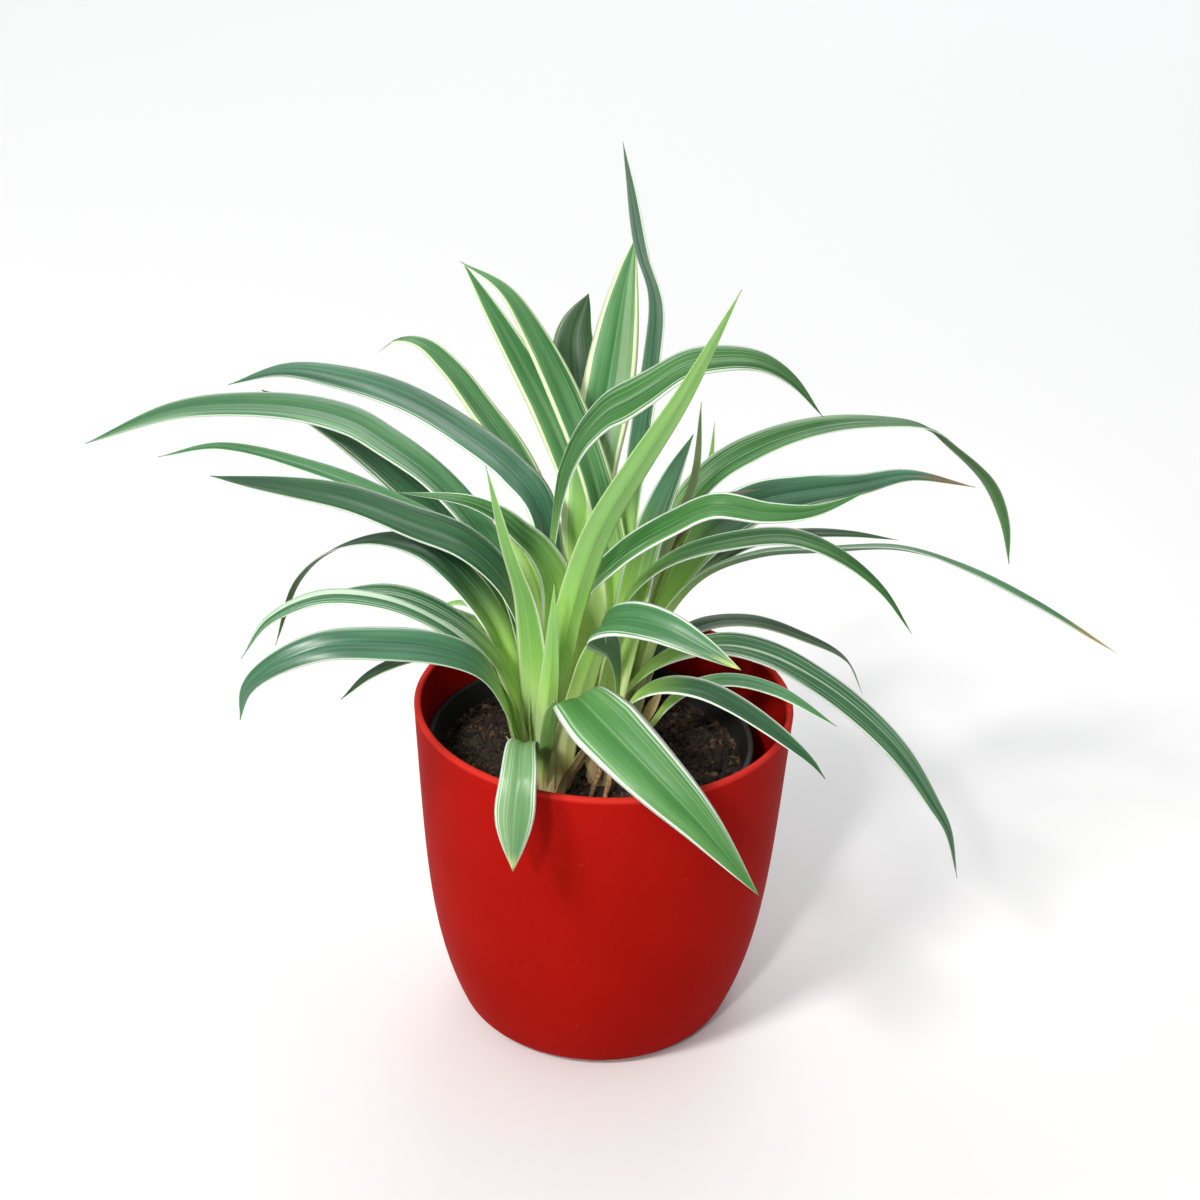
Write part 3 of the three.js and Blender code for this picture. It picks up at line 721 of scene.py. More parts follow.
class Blade:
    """Fills a geometry group that grows a closed, channelled leaf blade along a midrib.

    The blade is a grid. Across runs from -1 to 1 and along from 0 at the root to 1 at the tip.
    """

    def __init__(self, graph: Graph) -> None:
        """Lays out the grid and samples the midrib.

        Args:
            graph: The group's graph.
        """
        self.graph = graph
        self.sockets = sockets = graph.takes({
            "Midrib": "Geometry", "Rows": "Int", "Columns": "Int", "Width": "Float", "Heading": "Float",
            "Roll root": "Float", "Roll middle": "Float", "Roll tip": "Float", "Root share": "Float",
            "Full at": "Float", "Rise power": "Float", "Taper from": "Float", "Taper power": "Float",
            "Tip width": "Float", "Fold": "Float", "Fold power": "Float", "Arch": "Float",
            "Thickness": "Float", "Wave": "Float", "Waves": "Float", "Seed": "Float", "Dry": "Float",
            "Rim": "Float", "Reach": "Float", "Finish": "Material"})
        grid = graph.add("GeometryNodeMeshGrid", {
            "Size X": 2.0, "Size Y": 1.0, "Vertices X": sockets["Columns"], "Vertices Y": sockets["Rows"]})
        self.grid = grid.outputs["Mesh"]
        place_on_grid = graph.add("GeometryNodeInputPosition").outputs[0]
        spot = graph.add("ShaderNodeSeparateXYZ", {0: place_on_grid})
        self.across = spot.outputs["X"]
        self.along = graph.plus(spot.outputs["Y"], 0.5)
        self.out = graph.math("ABSOLUTE", self.across)
        curve = graph.add("GeometryNodeMeshToCurve", {"Mesh": sockets["Midrib"]}).outputs["Curve"]
        self.length = graph.add("GeometryNodeCurveLength", {"Curve": curve}).outputs["Length"]
        sample = graph.add("GeometryNodeSampleCurve", {"Curves": curve, "Factor": self.along}, mode="FACTOR")
        self.position, self.tangent = sample.outputs["Position"], sample.outputs["Tangent"]

    def sideways(self) -> bpy.types.NodeSocket:
        """The blade's sideways direction: level, then rolled about the midrib.

        Returns:
            A unit vector at each place along the midrib.
        """
        graph, heading = self.graph, self.sockets["Heading"]
        level = graph.xyz(graph.times(graph.math("SINE", heading), -1.0), graph.math("COSINE", heading))
        ahead = graph.scaled(self.tangent, graph.vector("DOT_PRODUCT", level, self.tangent))
        side = graph.vector("NORMALIZE", graph.vector("SUBTRACT", level, ahead))
        first_half = graph.math("MULTIPLY", self.along, 2.0, clamp=True)
        second_half = graph.math("MULTIPLY_ADD", self.along, 2.0, -1.0, clamp=True)
        root, middle, tip = (self.sockets[f"Roll {part}"] for part in ("root", "middle", "tip"))
        roll = graph.times_plus(graph.minus(middle, root), first_half, root)
        roll = graph.times_plus(graph.minus(tip, middle), second_half, roll)
        rolled = {"Vector": side, "Axis": self.tangent, "Angle": roll}
        return graph.add("ShaderNodeVectorRotate", rolled, rotation_type="AXIS_ANGLE").outputs[0]

    def half_width(self) -> bpy.types.NodeSocket:
        """Half the blade's width: it rises from the root's share to its full, and falls to the tip.

        Returns:
            A length at each place along the midrib.
        """
        graph, sockets = self.graph, self.sockets
        share, taper = sockets["Root share"], sockets["Taper from"]
        rise = graph.math("DIVIDE", self.along, sockets["Full at"], clamp=True)
        rise = graph.math("POWER", rise, sockets["Rise power"])
        rise = graph.times_plus(graph.minus(1.0, share), rise, share)
        past = graph.math("DIVIDE", graph.minus(self.along, taper), graph.minus(1.0, taper), clamp=True)
        fall = graph.minus(1.0, graph.math("POWER", past, sockets["Taper power"]))
        width = graph.times(sockets["Width"], graph.times(rise, fall))
        return graph.times(graph.math("MAXIMUM", width, sockets["Tip width"]), 0.5)

    def section(self, half: Any, side: Any, up: Any) -> bpy.types.NodeSocket:
        """The blade's middle surface: a rounded channel, slightly arched halves and wavy margins.

        Args:
            half: Half the width.
            side: The sideways direction.
            up: The upward direction.

        Returns:
            Where each point of the grid lies.
        """
        graph, sockets, out = self.graph, self.sockets, self.out
        times, minus = graph.times, graph.minus
        fold = times(sockets["Fold"], graph.math("POWER", minus(1.0, self.along), sockets["Fold power"]))
        reach = times(half, graph.math("SQRT", minus(1.0, times(fold, fold))), self.across)
        channel = graph.math("SQRT", graph.times_plus(out, out, KEEL * KEEL))
        channel = times(minus(channel, KEEL), fold)
        hump = times(out, minus(1.0, out), sockets["Arch"])
        phase = graph.times_plus(graph.math("SIGN", self.across), MARGIN_PHASE, sockets["Seed"])
        turn = graph.times_plus(times(self.along, sockets["Waves"]), math.tau, phase)
        ripple = times(graph.math("SINE", turn), times(out, out), sockets["Wave"])
        lift = times(half, graph.plus(graph.plus(channel, hump), ripple))
        spot = graph.vector("ADD", self.position, graph.scaled(side, reach))
        return graph.vector("ADD", spot, graph.scaled(up, lift))

    def half_thickness(self, half: Any) -> bpy.types.NodeSocket:
        """Half the thickness: nothing at the margins and at both ends, where the two faces meet.

        Args:
            half: Half the width.

        Returns:
            A length at each point of the grid.
        """
        graph, along = self.graph, self.along
        body = graph.minus(1.0, graph.math("POWER", self.out, 4.0))
        middle = graph.times(along, graph.minus(1.0, along))
        ends = graph.math("MULTIPLY", middle, END_STEEPNESS, clamp=True)
        slim = graph.math("DIVIDE", half, SLIM_BELOW, clamp=True)
        return graph.times(body, ends, slim, self.sockets["Thickness"], 0.5)

    def marked(self) -> bpy.types.NodeSocket:
        """The grid with the attributes that the leaf's finish reads.

        Returns:
            The marked grid.
        """
        mesh = self.grid
        marks = {"across": self.across, "along": self.along, "run": self.graph.times(self.along, self.length)}
        marks |= {name.lower(): self.sockets[name] for name in ("Seed", "Dry", "Rim", "Reach")}
        for name, value in marks.items():
            mesh = self.graph.keep(mesh, name, value)
        return mesh

    def face(self, mesh: Any, spot: Any, is_under: bool) -> bpy.types.NodeSocket:
        """One face of the blade.

        Its map has the upper face in its left half and the underside in its right half.

        Args:
            mesh: The marked grid.
            spot: Where its points go.
            is_under: Whether it is the underside.

        Returns:
            The face, turned outwards.
        """
        graph = self.graph
        face = graph.keep(mesh, "underside", float(is_under), domain="FACE")
        middle = 0.75 if is_under else 0.25
        layout = graph.xyz(graph.times_plus(self.across, 0.24, middle),
                           graph.times_plus(self.along, 0.98, 0.01))
        face = graph.keep(face, "OFBake", layout, domain="CORNER", holds="FLOAT2")
        face = graph.add("GeometryNodeSetPosition", {"Geometry": face, "Position": spot}).outputs[0]
        return face if is_under else graph.add("GeometryNodeFlipFaces", {"Mesh": face}).outputs[0]

    def build(self) -> None:
        """Makes both faces and joins them into one closed blade."""
        graph = self.graph
        side = self.sideways()
        up = graph.vector("CROSS_PRODUCT", self.tangent, side)
        half = self.half_width()
        middle = self.section(half, side, up)
        thick = self.half_thickness(half)
        mesh = self.marked()
        joined = graph.add("GeometryNodeJoinGeometry")
        for is_under in (False, True):
            offset = graph.scaled(up, graph.times(thick, -1.0 if is_under else 1.0))
            face = self.face(mesh, graph.vector("ADD", middle, offset), is_under)
            graph.tree.links.new(face, joined.inputs[0])
        merged = graph.add("GeometryNodeMergeByDistance",
                           {"Geometry": joined.outputs[0], "Distance": MERGED_WITHIN})
        smooth = graph.add("GeometryNodeSetShadeSmooth", {"Geometry": merged.outputs[0]})
        graph.ends("Blade", smooth.outputs[0], self.sockets["Finish"])


def blade_nodes(graph: Graph) -> None:
    """A closed, channelled leaf blade along a midrib."""
    Blade(graph).build()


Point = tuple[float, float, float]


def smooth_path(points: Sequence[Point], steps: int) -> list[Vector]:
    """A centripetal Catmull-Rom curve through points.

    Args:
        points: What the curve passes through.
        steps: How many stretches lie between two points.

    Returns:
        The points along the curve.
    """
    given = [Vector(point) for point in points]
    padded = [2 * given[0] - given[1], *given, 2 * given[-1] - given[-2]]
    path = [given[0]]
    for before, start, end, after in zip(padded, padded[1:], padded[2:], padded[3:]):
        pairs = ((before, start), (start, end), (end, after))
        gap_in, gap, gap_out = (math.sqrt((b - a).length) for a, b in pairs)
        leave = ((start - before) / gap_in - (end - before) / (gap_in + gap) + (end - start) / gap) * gap
        arrive = ((end - start) / gap - (after - start) / (gap + gap_out) + (after - end) / gap_out) * gap
        for step in range(1, steps + 1):
            t = step / steps
            square = 3 * (end - start) - 2 * leave - arrive
            cube = 2 * (start - end) + leave + arrive
            path.append(start + leave * t + square * t ** 2 + cube * t ** 3)
    return path


def line_mesh(name: str, path: Iterable[Vector]) -> bpy.types.Mesh:
    """A mesh of nothing but a row of joined points.

    Args:
        name: The mesh's name.
        path: The points.

    Returns:
        The mesh.
    """
    points = list(path)
    mesh = bpy.data.meshes.new(name)
    mesh.from_pydata(points, [(i, i + 1) for i in range(len(points) - 1)], [])
    return mesh


@dataclass(frozen=True)
class Leaf:
    """One leaf.

    The midrib's points are in millimetres, from the crown outwards. Facing is the heading in
    degrees that the leaf arches towards, and rolls its turn about the midrib at root, middle and tip.
    Rim is the pale margins' share of each half, and reach how far up the leaf the fresh green goes,
    in millimetres.
    """

    name: str
    width: float
    facing: float
    rolls: tuple[float, float, float]
    tone: Tone
    midrib: tuple[Point, ...]
    dry: float = 0.0
    wave: float = 0.05
    root_share: float = 0.5
    fold: float = 0.45
    taper_power: float = 2.7
    full_at: float = 0.42
    taper_from: float = 0.5
    rise_power: float = 1.2
    rim: float = 0.11
    reach: float = 52.0


@dataclass
class BladeShape:
    """What all leaves share."""

    row_length: float = 2.2 * MM
    columns: int = 15
    tip_width: float = 0.35 * MM
    fold_power: float = 1.6
    arch: float = 0.30
    thickness: float = 0.55 * MM
    waves: float = 2.6
    path_steps: int = 14

    def grow(self, leaf: Leaf, start: Point, name: str, seed: float) -> bpy.types.Object:
        """Grows one leaf.

        Args:
            leaf: The leaf.
            start: Where it leaves the crown, in millimetres.
            name: The piece's name.
            seed: A number of its own that sets its margins and streaks.

        Returns:
            The finished leaf.
        """
        path = [point * MM for point in smooth_path([start, *leaf.midrib], self.path_steps)]
        length = sum((b - a).length for a, b in zip(path, path[1:]))
        root, middle, tip = (math.radians(angle) for angle in leaf.rolls)
        inputs = {
            "Rows": max(12, round(length / self.row_length)), "Columns": self.columns,
            "Width": leaf.width * MM, "Heading": math.radians(leaf.facing), "Roll root": root,
            "Roll middle": middle, "Roll tip": tip, "Root share": leaf.root_share,
            "Full at": leaf.full_at, "Rise power": leaf.rise_power, "Taper from": leaf.taper_from,
            "Taper power": leaf.taper_power, "Tip width": self.tip_width, "Fold": leaf.fold,
            "Fold power": self.fold_power, "Arch": self.arch, "Thickness": self.thickness,
            "Wave": leaf.wave, "Waves": self.waves, "Seed": seed, "Dry": leaf.dry,
            "Rim": leaf.rim, "Reach": leaf.reach * MM, "Finish": leaf.tone.value.make()}
        tree = group("leaf_blade", blade_nodes, "GeometryNodeTree")
        return grown(name, line_mesh(name, path), tree, inputs)


# ---------------------------------------------------------------- the leaves, shoot by shoot

LEFT_LEAVES = (
    Leaf("long", 17, 180, (-45, -14, -24), Tone.GREEN, rim=0.10, reach=56, midrib=(
        (-24, -16, 128), (-28, -10, 158), (-35, -3, 177), (-47, 4, 195), (-64, 12, 211), (-82, 18, 222),
        (-93, 22, 227), (-111, 26, 230), (-135, 28, 230), (-159, 27, 227), (-190, 23, 215))),
    Leaf("high", 18, 175, (-55, -12, -22), Tone.BLUISH, rim=0.09, reach=56, midrib=(
        (-23, -12, 126), (-21, 0, 170), (-26, 12, 201), (-37, 22, 211), (-56, 33, 221), (-78, 43, 229),
        (-101, 50, 233), (-122, 53, 234), (-143, 54, 227))),
    Leaf("mid", 20, 170, (-12, -42, -40), Tone.DEEP, rim=0.08, reach=56, midrib=(
        (-27, -8, 122), (-30, 4, 144), (-39, 14, 165), (-57, 24, 187), (-78, 34, 204), (-99, 42, 216),
        (-130, 50, 227))),
    Leaf("thin", 9, 185, (0, -12, -20), Tone.GREEN, reach=56, midrib=(
        (-27, -18, 127), (-31, -12, 153), (-40, -6, 180), (-57, 0, 196), (-79, 6, 205), (-102, 12, 212),
        (-140, 18, 218), (-163, 18, 213))),
    Leaf("broad", 15, 190, (-10, -28, -25), Tone.DEEP, rim=0.08, reach=56, midrib=(
        (-27, -24, 130), (-28, -28, 165), (-37, -30, 193), (-50, -30, 206), (-68, -27, 212),
        (-91, -22, 218), (-139, -10, 219))),
    Leaf("curl", 14, 190, (-95, -80, -50), Tone.MOSS, taper_from=0.45, taper_power=1.1, rim=0.14,
         root_share=0.7, full_at=0.3, reach=66, midrib=(
        (-17, -18, 127), (-16.7, -19, 152), (-16.6, -19, 174), (-17.5, -20, 185),
        (-20, -22, 194), (-25, -24, 203), (-31, -27, 210), (-37, -30, 217), (-48, -32, 223),
        (-73, -29, 224))),
    Leaf("spike", 15, 235, (0, 0, 0), Tone.LIME, root_share=1.0, fold=0.35, taper_power=1.6,
         taper_from=0.25, rim=0.2, reach=58, midrib=(
        (-24, -24, 123), (-25, -34, 152), (-28, -44, 190), (-34, -49, 214), (-41, -54, 246))),
    Leaf("small", 14, 200, (-70, -60, -40), Tone.PALE, root_share=0.8, taper_from=0.7, taper_power=2.0,
         reach=70, midrib=(
        (-24, -12, 128), (-21, -6, 163), (-24, -3, 174), (-28, 1, 183), (-33, 6, 190),
        (-37, 10, 196), (-43, 15, 199))),
    Leaf("droop", 16, 178, (-40, -18, 50), Tone.DEEP, reach=50, root_share=0.6, taper_from=0.4,
         taper_power=1.5, midrib=(
        (-29, -14, 120), (-33, -14, 142), (-39, -12, 162), (-50, -8, 178), (-65, -2, 189), (-81, 4, 190),
        (-99, 8, 183), (-113, 10, 169), (-122, 8, 143))),
    Leaf("low_front", 8, 198, (-10, -20, -26), Tone.STRIPED, rim=0.12, reach=50, midrib=(
        (-30, -28, 124), (-35, -40, 149), (-43, -50, 172), (-56, -57, 188), (-74, -62, 199),
        (-95, -64, 201), (-112, -64, 192), (-122, -62, 176))),
    Leaf("low_rear", 9, 186, (-10, -20, -30), Tone.STRIPED, rim=0.12, reach=50, midrib=(
        (-27, -22, 123), (-33, -28, 149), (-42, -32, 167), (-56, -34, 181), (-75, -35, 189),
        (-106, -32, 183))),
    Leaf("low_wide", 13, 206, (-10, -34, -40), Tone.BLUISH, rim=0.09, reach=50, midrib=(
        (-31, -30, 124), (-35, -46, 152), (-43, -58, 174), (-55, -66, 184), (-74, -74, 190),
        (-93, -77, 190), (-110, -78, 182), (-118, -77, 173), (-121, -75, 160))),
    Leaf("low_dark", 10, 208, (0, 12, 0), Tone.DARK, reach=50, midrib=(
        (-29, -22, 118), (-34, -34, 142), (-40, -44, 162), (-50, -52, 174), (-66, -60, 177),
        (-79, -63, 172), (-89, -63, 162))),
    Leaf("wisp", 5, 195, (0, -10, 0), Tone.PALE, midrib=(
        (-28, -6, 121), (-34, 2, 140), (-43, 8, 154), (-53, 12, 161), (-69, 16, 153))),
    Leaf("shade", 11, 160, (-10, -20, -30), Tone.DARK, midrib=(
        (-29, 2, 114), (-35, 14, 128), (-43, 24, 139), (-68, 42, 146))),
    Leaf("light", 16, 140, (10, 10, -10), Tone.SUNNY, rim=0.22, reach=60, dry=0.05, midrib=(
        (-21, -6, 126), (-20, 12, 164), (-27, 32, 191), (-36, 42, 207), (-49, 51, 222), (-61, 58, 235),
        (-72, 62, 243), (-81, 64, 243), (-89, 65, 237))),
    Leaf("arch", 18, 345, (0, 45, 8), Tone.MOSS, root_share=0.2, rim=0.12, reach=70, full_at=0.66,
         rise_power=3.4, midrib=(
        (-22, -14, 126), (-21, -12, 172), (-19, -14, 203), (-16, -18, 226), (-13, -20, 236),
        (-9, -23, 245), (-2, -27, 255), (5, -31, 261), (11, -33, 266), (23, -34, 275),
        (34, -32, 277), (47, -28, 275), (58, -25, 268), (70, -21, 253))),
    Leaf("bright", 11, 280, (0, 0, 0), Tone.FRESH, root_share=1.0, fold=0.55, taper_power=1.9, rim=0.08,
         reach=74, midrib=(
        (-18, -22, 123), (-15, -34, 168), (-10, -42, 198), (-3, -50, 224), (9, -58, 251), (21, -64, 276),
        (37, -70, 314))),
    Leaf("wave", 12, 335, (30, 48, 34), Tone.MOSS, root_share=0.3, full_at=0.7, rim=0.15, reach=60, midrib=(
        (-16, -22, 124), (-13, -22, 159), (-9, -26, 184), (4, -37, 207), (21, -48, 225), (34, -53, 234),
        (51, -55, 233), (67, -54, 234), (83, -53, 241))),
    Leaf("young", 9, 260, (0, 0, 0), Tone.FRESH, root_share=1.0, fold=0.8, taper_from=0.3,
         taper_power=1.6, rim=0.14, reach=50, midrib=(
        (-21, -30, 131), (-19, -43, 165), (-18, -54, 204))),
    Leaf("hang", 15, 265, (0, 0, 0), Tone.SOFT, full_at=0.85, rim=0.12, reach=24, root_share=0.25,
         fold=0.9, taper_from=0.78, taper_power=1.6, dry=0.05, midrib=(
        (-24, -26, 115), (-26, -42, 133), (-28, -60, 144), (-28, -76, 143), (-29, -84, 129),
        (-29, -88, 112))),
    Leaf("low_back", 13, 140, (0, 0, 0), Tone.GREEN, midrib=(
        (-27, 6, 117), (-31, 22, 137), (-39, 42, 145), (-63, 80, 142))),
    Leaf("far_back", 14, 112, (0, 0, 0), Tone.DEEP, midrib=(
        (-24, 8, 116), (-23, 30, 137), (-23, 55, 141), (-24, 82, 131), (-26, 108, 113))),
)

RIGHT_LEAVES = (
    Leaf("broad", 25.7, 288, (10, 16, 0), Tone.LEAFY, root_share=0.10, fold=0.12, taper_power=1.8,
         full_at=0.54, taper_from=0.45, rim=0.14, reach=30, rise_power=1.4, midrib=(
        (1, -24, 119), (-3, -38, 141), (-9, -53, 160), (-1, -72, 162.5), (16, -88, 153), (33, -97, 139),
        (53, -103, 116))),
    Leaf("fold", 17, 300, (0, 34, 40), Tone.TIPPED, root_share=0.06, fold=0.5, full_at=0.6, dry=0.06,
         rim=0.15, reach=38, rise_power=3.4, midrib=(
        (3, -16, 120), (5, -25, 148), (3, -36, 170), (-2, -48, 185), (6, -57, 193), (18, -65, 195),
        (31, -72, 192), (44, -78, 187))),
    Leaf("low_near", 9, 330, (10, 20, 26), Tone.DEEP, rim=0.17, reach=46, root_share=0.8, midrib=(
        (1, -16, 120), (7, -24, 136), (13, -32, 150), (22, -39, 158), (34, -45, 160), (45, -49, 157),
        (59, -54, 150), (72, -57, 140), (77, -58, 134))),
    Leaf("low_far", 7, 345, (10, 20, 20), Tone.GREEN, rim=0.16, reach=40, root_share=0.9, midrib=(
        (4, -12, 110), (12, -14, 117), (18, -16, 128), (24, -18, 139), (32, -20, 147), (45, -23, 152),
        (61, -26, 150), (83, -29, 138))),
    Leaf("long_low", 12.5, 345, (0, 22, 36), Tone.STRIPED, taper_power=1.9, rim=0.12, reach=46,
         root_share=0.75, midrib=(
        (1, -8, 117), (9, -4, 134), (21, -1, 146), (41, 2, 152), (59, 2, 149), (79, 0, 139),
        (96, -3, 127), (111, -7, 113), (124, -11, 95), (130, -13, 85), (135, -16, 66))),
    Leaf("arch", 12, 350, (10, 6, 14), Tone.MOSS, rim=0.13, reach=64, root_share=0.85, fold=0.8, midrib=(
        (-1, -14, 121), (2, -18, 156), (10, -22, 185), (23, -25, 200), (43, -28, 209), (62, -30, 212),
        (78, -32, 207), (93, -34, 196), (105, -36, 180))),
    Leaf("sword", 13, 60, (0, 0, 0), Tone.BLUISH, rim=0.13, reach=70, root_share=0.85, fold=0.8, midrib=(
        (3, -12, 125), (8, -13, 169), (14, -15, 205), (20, -17, 226), (27, -18, 244))),
)

BACK_LEAVES = (
    Leaf("high", 15, 10, (12, 18, -45), Tone.MOSS, rim=0.09, reach=66, root_share=0.8, fold=0.8, midrib=(
        (5, 8, 121), (12, 14, 164), (23, 20, 191), (38, 26, 210), (56, 31, 220), (77, 35, 226),
        (97, 38, 227), (114, 39, 225), (124, 39, 218), (139, 37, 205), (146, 34, 191), (149, 31, 175))),
    Leaf("broad", 17, 20, (20, 44, 30), Tone.BLUISH, taper_power=1.3, dry=0.12, rim=0.10, reach=60, midrib=(
        (7, 16, 115), (18, 28, 152), (34, 42, 174), (55, 56, 185), (75, 66, 186), (96, 74, 186),
        (116, 80, 188), (143, 84, 182))),
    Leaf("thin", 7, 30, (0, 20, 20), Tone.DARK, midrib=(
        (8, 24, 107), (22, 40, 147), (49, 58, 165), (75, 72, 165), (95, 82, 161), (116, 90, 155))),
    Leaf("needle", 6, 310, (0, 0, 0), Tone.OLIVE, midrib=(
        (7, 8, 121), (14, 6, 166), (22, 4, 195), (29, 3, 218), (30, 1, 248))),
    Leaf("pale", 8, 30, (0, 0, 0), Tone.PALE, rim=0.12, reach=80, root_share=0.8, fold=0.8, midrib=(
        (9, 16, 116), (18, 22, 160), (29, 32, 188), (36, 37, 209), (37, 39, 225))),
    Leaf("dark", 10, 25, (0, 6, 16), Tone.DARK, reach=20, midrib=(
        (12, 22, 119), (20, 34, 130), (36, 44, 137), (56, 54, 135), (77, 62, 125), (96, 66, 113),
        (105, 68, 95))),
    Leaf("up_front", 15, 130, (0, 0, 0), Tone.SUNNY, rim=0.2, reach=60, root_share=0.8, fold=0.8, midrib=(
        (1, 4, 125), (2, 14, 167), (-5, 24, 203), (-17, 34, 232), (-29, 42, 254), (-41, 48, 270),
        (-57, 53, 278))),
    Leaf("up_rear", 15, 120, (0, 0, 0), Tone.SUNNY, rim=0.22, reach=60, root_share=0.8, fold=0.8, midrib=(
        (3, 14, 119), (0, 31, 159), (-10, 47, 186), (-22, 58, 213), (-36, 70, 235), (-58, 84, 267))),
    Leaf("lean", 20, 95, (0, 0, 0), Tone.DARK, taper_power=4.5, rim=0.05, taper_from=0.62, midrib=(
        (1, 22, 118), (-4, 44, 152), (-9, 68, 191), (-14, 84, 217), (-16, 95, 236), (-11, 102, 250))),
    Leaf("sunlit", 20, 88, (0, 0, 0), Tone.SUNNY, rim=0.22, reach=70, root_share=0.8, fold=0.8,
         taper_from=0.66, taper_power=2.2, midrib=(
        (1, 16, 118), (-7, 26, 161), (-8, 43, 198), (-3, 57, 224), (3, 73, 266), (6, 78, 281))),
    Leaf("tallest", 15, 25, (0, 0, 0), Tone.BLUISH, rim=0.13, reach=70, root_share=0.8, fold=0.8,
         taper_from=0.62, taper_power=3.4, midrib=(
        (4, 10, 121), (8, 20, 160), (10, 28, 209), (14, 34, 250), (14, 36, 272), (8, 39, 289),
        (3, 43, 313), (0, 45, 326))),
    Leaf("reach", 12, 5, (-30, -22, 15), Tone.GREEN, dry=0.09, fold=0.95, rim=0.2, reach=60, midrib=(
        (14, 7, 125), (18, 9, 145), (24, 12, 160), (36, 20, 171), (56, 28, 176), (81, 36, 175),
        (110, 42, 174), (135, 44, 166), (164, 44, 152), (197, 42, 133))),
    Leaf("brown", 8, 15, (0, 20, 10), Tone.BROWN, midrib=(
        (11, 14, 125), (15, 16, 161), (25, 28, 185), (39, 38, 194), (56, 45, 196))),
    Leaf("low_far", 14, 75, (0, 0, 0), Tone.GREEN, midrib=(
        (8, 26, 121), (9, 48, 141), (11, 74, 147), (11, 98, 137), (10, 120, 116))),
    Leaf("low_right", 13, 50, (0, 0, 0), Tone.DEEP, midrib=(
        (13, 24, 117), (18, 42, 129), (24, 60, 129), (29, 77, 119), (33, 90, 104))),
)

LEFT_HUSKS = (
    Leaf("inner", 10, 290, (0, 0, 0), Tone.SHEATH, root_share=0.9, fold=0.4, taper_from=0.7, reach=60,
         midrib=(
        (-14, -25, 114), (-12.5, -29, 131), (-9, -34, 148), (-6, -39, 164), (-3, -43, 177),
        (-1.5, -45, 185))),
    Leaf("edge", 5, 270, (0, 0, 0), Tone.SHEATH, root_share=0.9, fold=0.5, taper_from=0.7, rim=0.16,
         reach=14, midrib=(
        (-21.5, -28, 112), (-20, -33, 129), (-18.5, -40, 145), (-17, -46, 155))),
    Leaf("dry", 9, 315, (0, 0, 0), Tone.HUSK, root_share=1.0, midrib=(
        (-12, -25, 108), (-8, -28, 119), (-4.5, -30, 127), (-1, -32, 134))),
    Leaf("side", 8, 190, (0, 0, 0), Tone.HUSK, midrib=((-27, -23, 110), (-31, -24, 120), (-35, -25, 127))),
)

RIGHT_HUSKS = (
    Leaf("front", 9, 270, (0, 0, 0), Tone.HUSK, midrib=((-1, -20, 109), (-2, -23, 118), (-1, -27, 126))),
    Leaf("side", 8, 330, (0, 0, 0), Tone.HUSK, midrib=((7, -17, 108), (10, -19, 115), (14, -21, 121))),
)

BACK_HUSKS = (
    Leaf("side", 8, 20, (0, 0, 0), Tone.HUSK, midrib=((15, 13, 109), (18, 15, 117), (22, 17, 124))),
)


# ---------------------------------------------------------------- turned pieces


Profile = Sequence[tuple[float, float]]
SHARP_ANGLE = math.radians(50)


def turned(name: str, profile: Profile, sides: int) -> bpy.types.Mesh:
    """Turns a profile about Z into a closed mesh.

    Args:
        name: The mesh's name.
        profile: Radius and height of each point, from the axis and back to the axis.
        sides: How many sides a turn has.

    Returns:
        The mesh, shaded smooth but for its sharp edges.
    """
    shape = bmesh.new()
    rings = []
    for radius, height in profile:
        if radius == 0:
            rings.append([shape.verts.new((0, 0, height))] * sides)
            continue
        angles = (math.tau * side / sides for side in range(sides))
        rings.append([shape.verts.new((radius * math.cos(a), radius * math.sin(a), height)) for a in angles])
    for low, high in zip(rings, rings[1:]):
        for side in range(sides):
            corners = (low[side], low[side - 1], high[side - 1], high[side])
            shape.faces.new(list(dict.fromkeys(corners)))
    bmesh.ops.recalc_face_normals(shape, faces=shape.faces)
    mesh = as_mesh(name, shape)
    mesh.shade_smooth()
    mesh.set_sharp_from_angle(angle=SHARP_ANGLE)
    return mesh


def arc(centre: tuple[float, float], radius: float, first: float, last: float,
        steps: int) -> list[tuple[float, float]]:
    """Points of an arc in a profile.

    Args:
        centre: Radius and height of the arc's centre.
        radius: The arc's radius.
        first: Angle of its first point, in degrees.
        last: Angle of its last point.
        steps: How many stretches it has.

    Returns:
        Radius and height of each point.
    """
    angles = [math.radians(first + (last - first) * step / steps) for step in range(steps + 1)]
    return [(centre[0] + radius * math.cos(a), centre[1] + radius * math.sin(a)) for a in angles]


